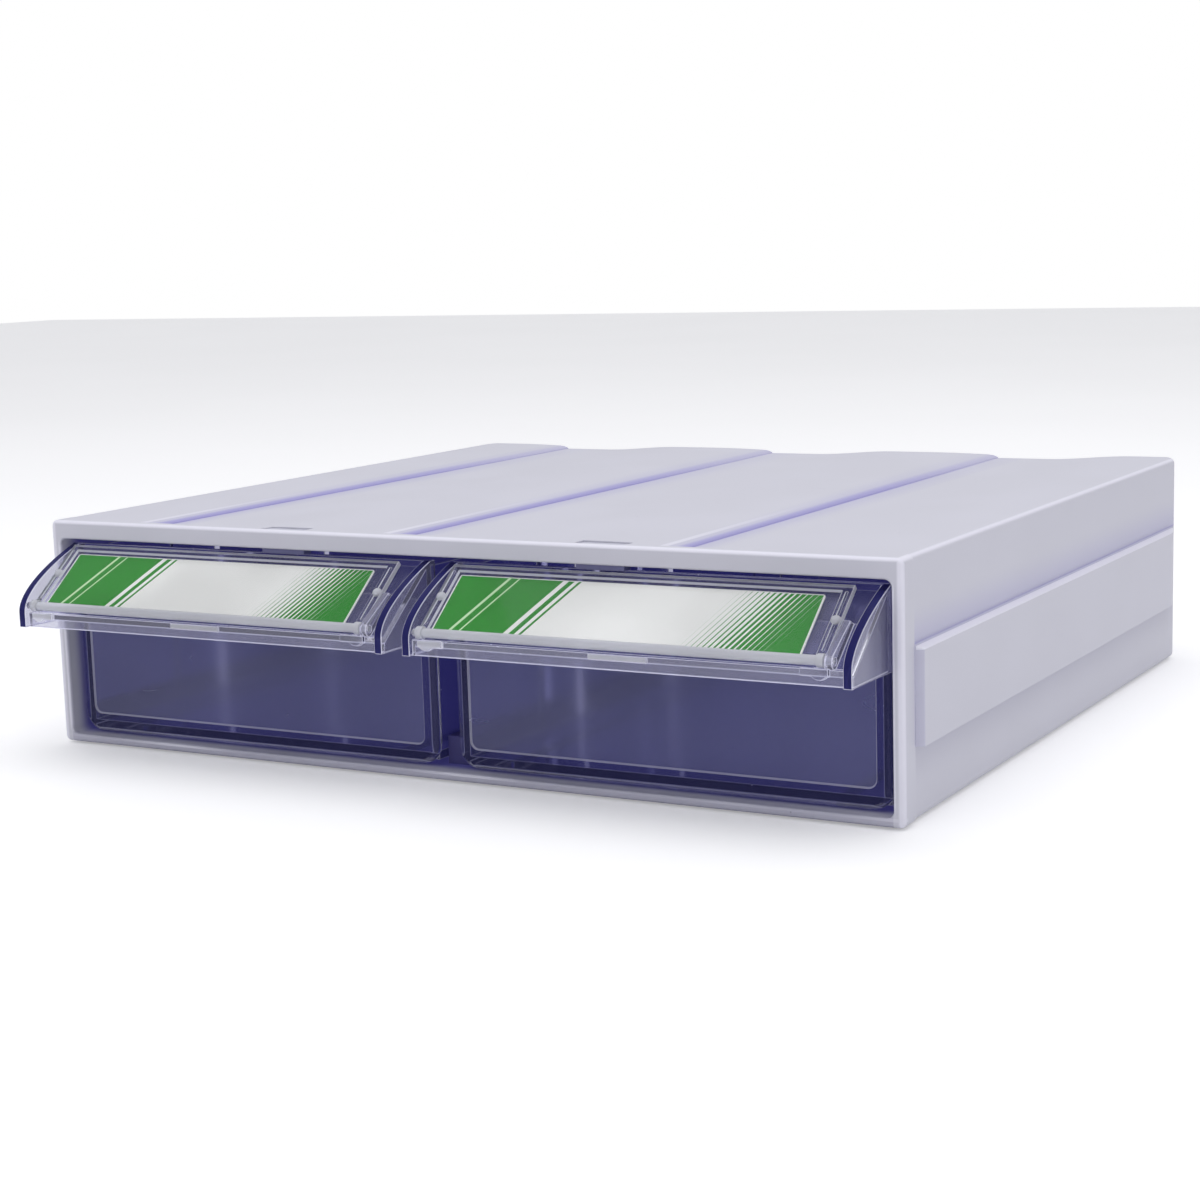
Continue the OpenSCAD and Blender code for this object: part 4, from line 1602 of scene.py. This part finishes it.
@dataclass
class Drawer:
    """One clear drawer with its label card and cover.

    Places across are from the left end of the drawer, and Y is back from the case's front face.

    Attributes:
        side: Which drawer.
        width: Width of the drawer.
        pitch: Distance between the middles of the two drawers.
        case_depth: Depth of the case.
        edge: Width of the softened edges.
        front_y: Y of the front plate's face.
        front_t: Thickness of the front plate.
        pane: Left, right, lower and upper edge of the sunk pane.
        pane_depth: How deep the pane is sunk.
        lip_y: Y of the front of the lip, the visor's lower front edge.
        lip_top: Height of the lip's upper edge.
        low_edge: Height up to which the front plate's lower edge is rounded.
        cheek: Thickness of the visor's cheeks.
        post: Left and right side of the hinge post, beside the right cheek.
        ribs: Y of the upright ribs on the side walls.
        rib_r: Radius of a rib.
    """

    side: Side
    width: float = 160.0
    pitch: float = 168.0
    case_depth: float = 310.0
    edge: float = 0.25
    front_y: float = 5.0
    front_t: float = 3.0
    pane: tuple[float, float, float, float] = (5.5, 154.5, 11.5, 62.5)
    pane_depth: float = 0.7
    lip_y: float = -24.0
    lip_top: float = 54.2
    low_edge: float = 7.0
    cheek: float = 3.0
    post: tuple[float, float] = (150.6, 153.2)
    ribs: tuple[float, ...] = (84.0, 158.0)
    rib_r: float = 1.3

    @property
    def start(self) -> float:
        """X of the drawer's left end."""
        return self.side.value * self.pitch / 2 - self.width / 2

    def around_pane(self, f: Faces, out: float) -> np.ndarray:
        """Picks the faces over the pane's rectangle, made larger by a margin."""
        x0, x1, z0, z1 = self.pane
        return (f.x > x0 - out) & (f.x < x1 + out) & (f.z > z0 - out) & (f.z < z1 + out)

    def pane_faces(self, f: Faces) -> np.ndarray:
        """Picks the sunk pane in the front."""
        sunk = np.abs(f.y - self.front_y - self.pane_depth) < 0.1
        return sunk & (f.ny < -0.9) & self.around_pane(f, 0.0)

    def border_faces(self, f: Faces) -> np.ndarray:
        """Picks the front plate's face around the pane."""
        return (np.abs(f.y - self.front_y) < 0.1) & (f.ny < -0.9) & (f.z < self.lip_top)

    def edge_faces(self, f: Faces) -> np.ndarray:
        """Picks the narrow edges of the two cheeks."""
        on_cheek = (f.x < self.cheek + 0.05) | (f.x > self.width - self.cheek - 0.05)
        return on_cheek & (f.y < self.front_y - 1) & (np.abs(f.nx) < 0.5)

    def pad_faces(self, f: Faces) -> np.ndarray:
        """Picks the middle and the left pad on the lip."""
        return (f.y < self.lip_y - 0.1) & (f.x > self.cheek) & (f.x < 0.75 * self.width)

    def rim_faces(self, f: Faces) -> np.ndarray:
        """Picks the small walls around the pane."""
        rim = (f.y > self.front_y + 0.05) & (f.y < self.front_y + self.pane_depth - 0.05)
        return rim & self.around_pane(f, 1.0)

    def rib_faces(self, f: Faces) -> np.ndarray:
        """Picks the upright ribs on the side walls."""
        ribs = np.any([np.abs(f.y - rib) < self.rib_r for rib in self.ribs], axis=0)
        return ribs & (np.abs(f.nz) < 0.3) & (f.z < self.pane[3])

    def milky_faces(self, f: Faces) -> np.ndarray:
        """Picks the front of the lip, the post, the cheeks' outer sides and the front plate's
        rounded lower edge.

        Args:
            f: The drawer's faces.

        Returns:
            A truth value for each face.
        """
        lip = (f.y < self.lip_y + 0.1) & (f.ny < -0.9)
        on_post = (f.x > self.post[0] - 0.1) & (f.x < self.post[1] + 0.1)
        post = on_post & (f.y < 0) & (f.z > self.lip_top)
        cheeks = (np.abs(f.nx) > 0.9) & ((f.x < 0.1) | (f.x > self.width - 0.1)) & (f.y < 0)
        edge = (f.z < self.low_edge) & (f.y < self.front_y + self.front_t) & (f.nz < -0.2)
        return lip | post | cheeks | edge

    def build(self, finishes: dict[Look, Material]) -> list[Piece]:
        """Builds and dresses the drawer, its card and its cover.

        The last finish painted is also that of the softened edges, which so carry its painted glow.

        Args:
            finishes: The shared materials.

        Returns:
            Its pieces.
        """
        word = self.side.word
        body = softened_copy(f"{word}_drawer", f"{word}_drawer_body", self.edge, finishes[Look.CLEAR])
        centres, normals = face_arrays(body)
        faces = Faces(*(centres + np.array([-self.start, self.case_depth / 2, 0])).T, *normals.T)
        # Painted light on the drawer: shaded copies on the border and the cheek edges, and glowing
        # copies on the ribs and the pane's rims.
        picks = {Look.BORDER: self.border_faces, Look.MILKY: self.milky_faces,
                 Look.PANE: self.pane_faces, Look.EDGE: self.edge_faces, Look.FROSTED: self.pad_faces,
                 Look.LIT: self.rib_faces, Look.HAIRLINE: self.rim_faces}
        for look, pick in picks.items():
            paint_faces(body, finishes[look], pick(faces))
        body.modifiers["soft edges"].material = len(body.data.materials) - 1
        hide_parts(f"{word}_drawer")
        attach(body, f"{word}_drawer")
        plane = SlopePlane.of(self.side, self.start)
        card = LabelCard(self.side).build(plane, finishes[Look.CARD])
        cover = LabelCover(self.side).build(plane, finishes[Look.COVER], finishes[Look.FROSTED])
        return [body, card, *cover]


# ---- studio -----------------------------------------------------------------------------------


@dataclass(frozen=True)
class SoftLight:
    """A square soft light that faces the case.

    Attributes:
        name: Name of the light.
        at: Its place in metres.
        size: Its side in metres.
        power: Its power in watts.
        mirrored: Whether glossy surfaces mirror it.
    """

    name: str
    at: tuple[float, float, float]
    size: float
    power: float
    mirrored: bool

    def build(self) -> None:
        """Hangs the light and turns it to the frame's origin."""
        data = bpy.data.lights.new(self.name, "AREA")
        data.size, data.energy = self.size, self.power
        lamp = bpy.data.objects.new(self.name, data)
        lamp.visible_glossy = self.mirrored
        lamp.location = self.at
        aim = -np.array(self.at) / np.linalg.norm(self.at)
        lamp.rotation_euler = (math.acos(-aim[2]), 0.0, math.atan2(aim[0], -aim[1]) + math.pi)
        bpy.context.scene.collection.objects.link(lamp)


@dataclass
class Studio:
    """Camera, soft lights and a plain pale floor.

    Attributes:
        camera_at: Place of the camera in metres.
        yaw: How far the camera is turned to the left, in degrees.
        pitch: How far it looks down, in degrees.
        roll: How far it is rolled, in degrees.
        lens: Its focal length.
        sensor: Width of its sensor.
        pale: Colour of the floor.
        cool: Colour of the backdrop's light on the case.
        ambient: Strength of that light.
        floor_half: Half the floor's side.
        floor_t: Thickness of the floor.
        floor_glow: Light that the floor gives.
        floor_glow_seen: What the camera sees of it on top of that.
        lights: The soft lights.
    """

    camera_at: tuple[float, float, float] = (0.42307, -0.78849, 0.18344)
    yaw: float = 29.49
    pitch: float = 9.10
    roll: float = 1.75
    lens: float = 68.1
    sensor: float = 36.0
    pale: Colour = (0.86, 0.86, 0.87)
    cool: Colour = (0.96, 0.965, 1.0)
    ambient: float = 0.6
    floor_half: float = 4000.0
    floor_t: float = 20.0
    floor_glow: float = 0.06
    floor_glow_seen: float = 0.22
    lights: tuple[SoftLight, ...] = (SoftLight("overhead", (0.1, -0.2, 1.6), 1.8, 14.0, False),
                                     SoftLight("right", (1.6, -0.6, 0.9), 1.2, 0.9, True))

    def camera(self) -> None:
        """The photograph's viewpoint: turned left by yaw, down by pitch, and rolled."""
        lens = bpy.data.cameras.new("camera")
        lens.lens, lens.sensor_width = self.lens, self.sensor
        eye = bpy.data.objects.new("camera", lens)
        yaw, pitch, roll = (math.radians(a) for a in (self.yaw, self.pitch, self.roll))
        ahead = np.array([-math.sin(yaw), math.cos(yaw), 0.0])
        forward = math.cos(pitch) * ahead - np.array([0.0, 0.0, math.sin(pitch)])
        right = np.array([math.cos(yaw), math.sin(yaw), 0.0])
        up = np.cross(right, forward)
        level = math.cos(roll) * right - math.sin(roll) * up
        upright = math.sin(roll) * right + math.cos(roll) * up
        for i, row in enumerate(zip(level, upright, -forward, self.camera_at)):
            eye.matrix_world[i] = row
        bpy.context.scene.collection.objects.link(eye)
        bpy.context.scene.camera = eye

    def floor(self) -> None:
        """A wide pale floor with a faint, slow variation of tone."""
        material, w = new_material("pale floor")
        tone = w.noise(w.place().at, 3.0)
        seen = w.add("LightPath").outputs["Is Camera Ray"]
        glow = w.math("ADD", w.product(seen, self.floor_glow_seen), self.floor_glow)
        darker = tuple(0.98 * c for c in self.pale)
        w.principled({"Base Color": w.blend(w.ramp(tone, 0.3, 0.7), self.pale, darker),
                      "Roughness": w.ramp(tone, 0.3, 0.7, 0.6, 0.65), "Specular IOR Level": 0.2,
                      "Emission Color": (*WHITE, 1.0), "Emission Strength": glow})
        side = np.linspace(-self.floor_half, self.floor_half, 9)
        x, y = np.meshgrid(side, side, indexing="xy")
        top = np.stack([x, y, np.zeros_like(x)], -1)
        under = top - np.array([0, 0, self.floor_t])
        make_piece("floor", sheet_between(top, under), material)

    def surroundings(self) -> None:
        """A white backdrop, whose light on the case is softer and a little cool."""
        world = bpy.data.worlds.new("studio")
        world.use_nodes = True
        w = Wiring(world.node_tree)
        seen = w.add("LightPath").outputs["Is Camera Ray"]
        strength = w.math("ADD", w.product(seen, 1.0 - self.ambient), self.ambient)
        light = w.add("Background", {"Color": w.blend(seen, self.cool, WHITE), "Strength": strength})
        w.send(w.add("OutputWorld"), {"Surface": light.outputs[0]})
        bpy.context.scene.world = world

    def build(self) -> None:
        """Sets up the whole studio."""
        self.camera()
        self.floor()
        self.surroundings()
        for light in self.lights:
            light.build()
        bpy.context.scene.view_settings.view_transform = "Standard"


def main() -> None:
    """Builds the studio and every sub-assembly, in order, and reports the pieces."""
    logging.basicConfig(level=logging.INFO, format="%(name)s: %(message)s")
    Studio().build()
    build_grain_group()
    build_wear_group()
    pieces = CaseShell().build()
    finishes = {look: look.value.material() for look in Look}
    for side in Side:
        pieces += Drawer(side).build(finishes)
    for piece in pieces:
        log.info("%s: %d faces", piece.name, len(piece.data.polygons))


if __name__ == "__main__":
    main()
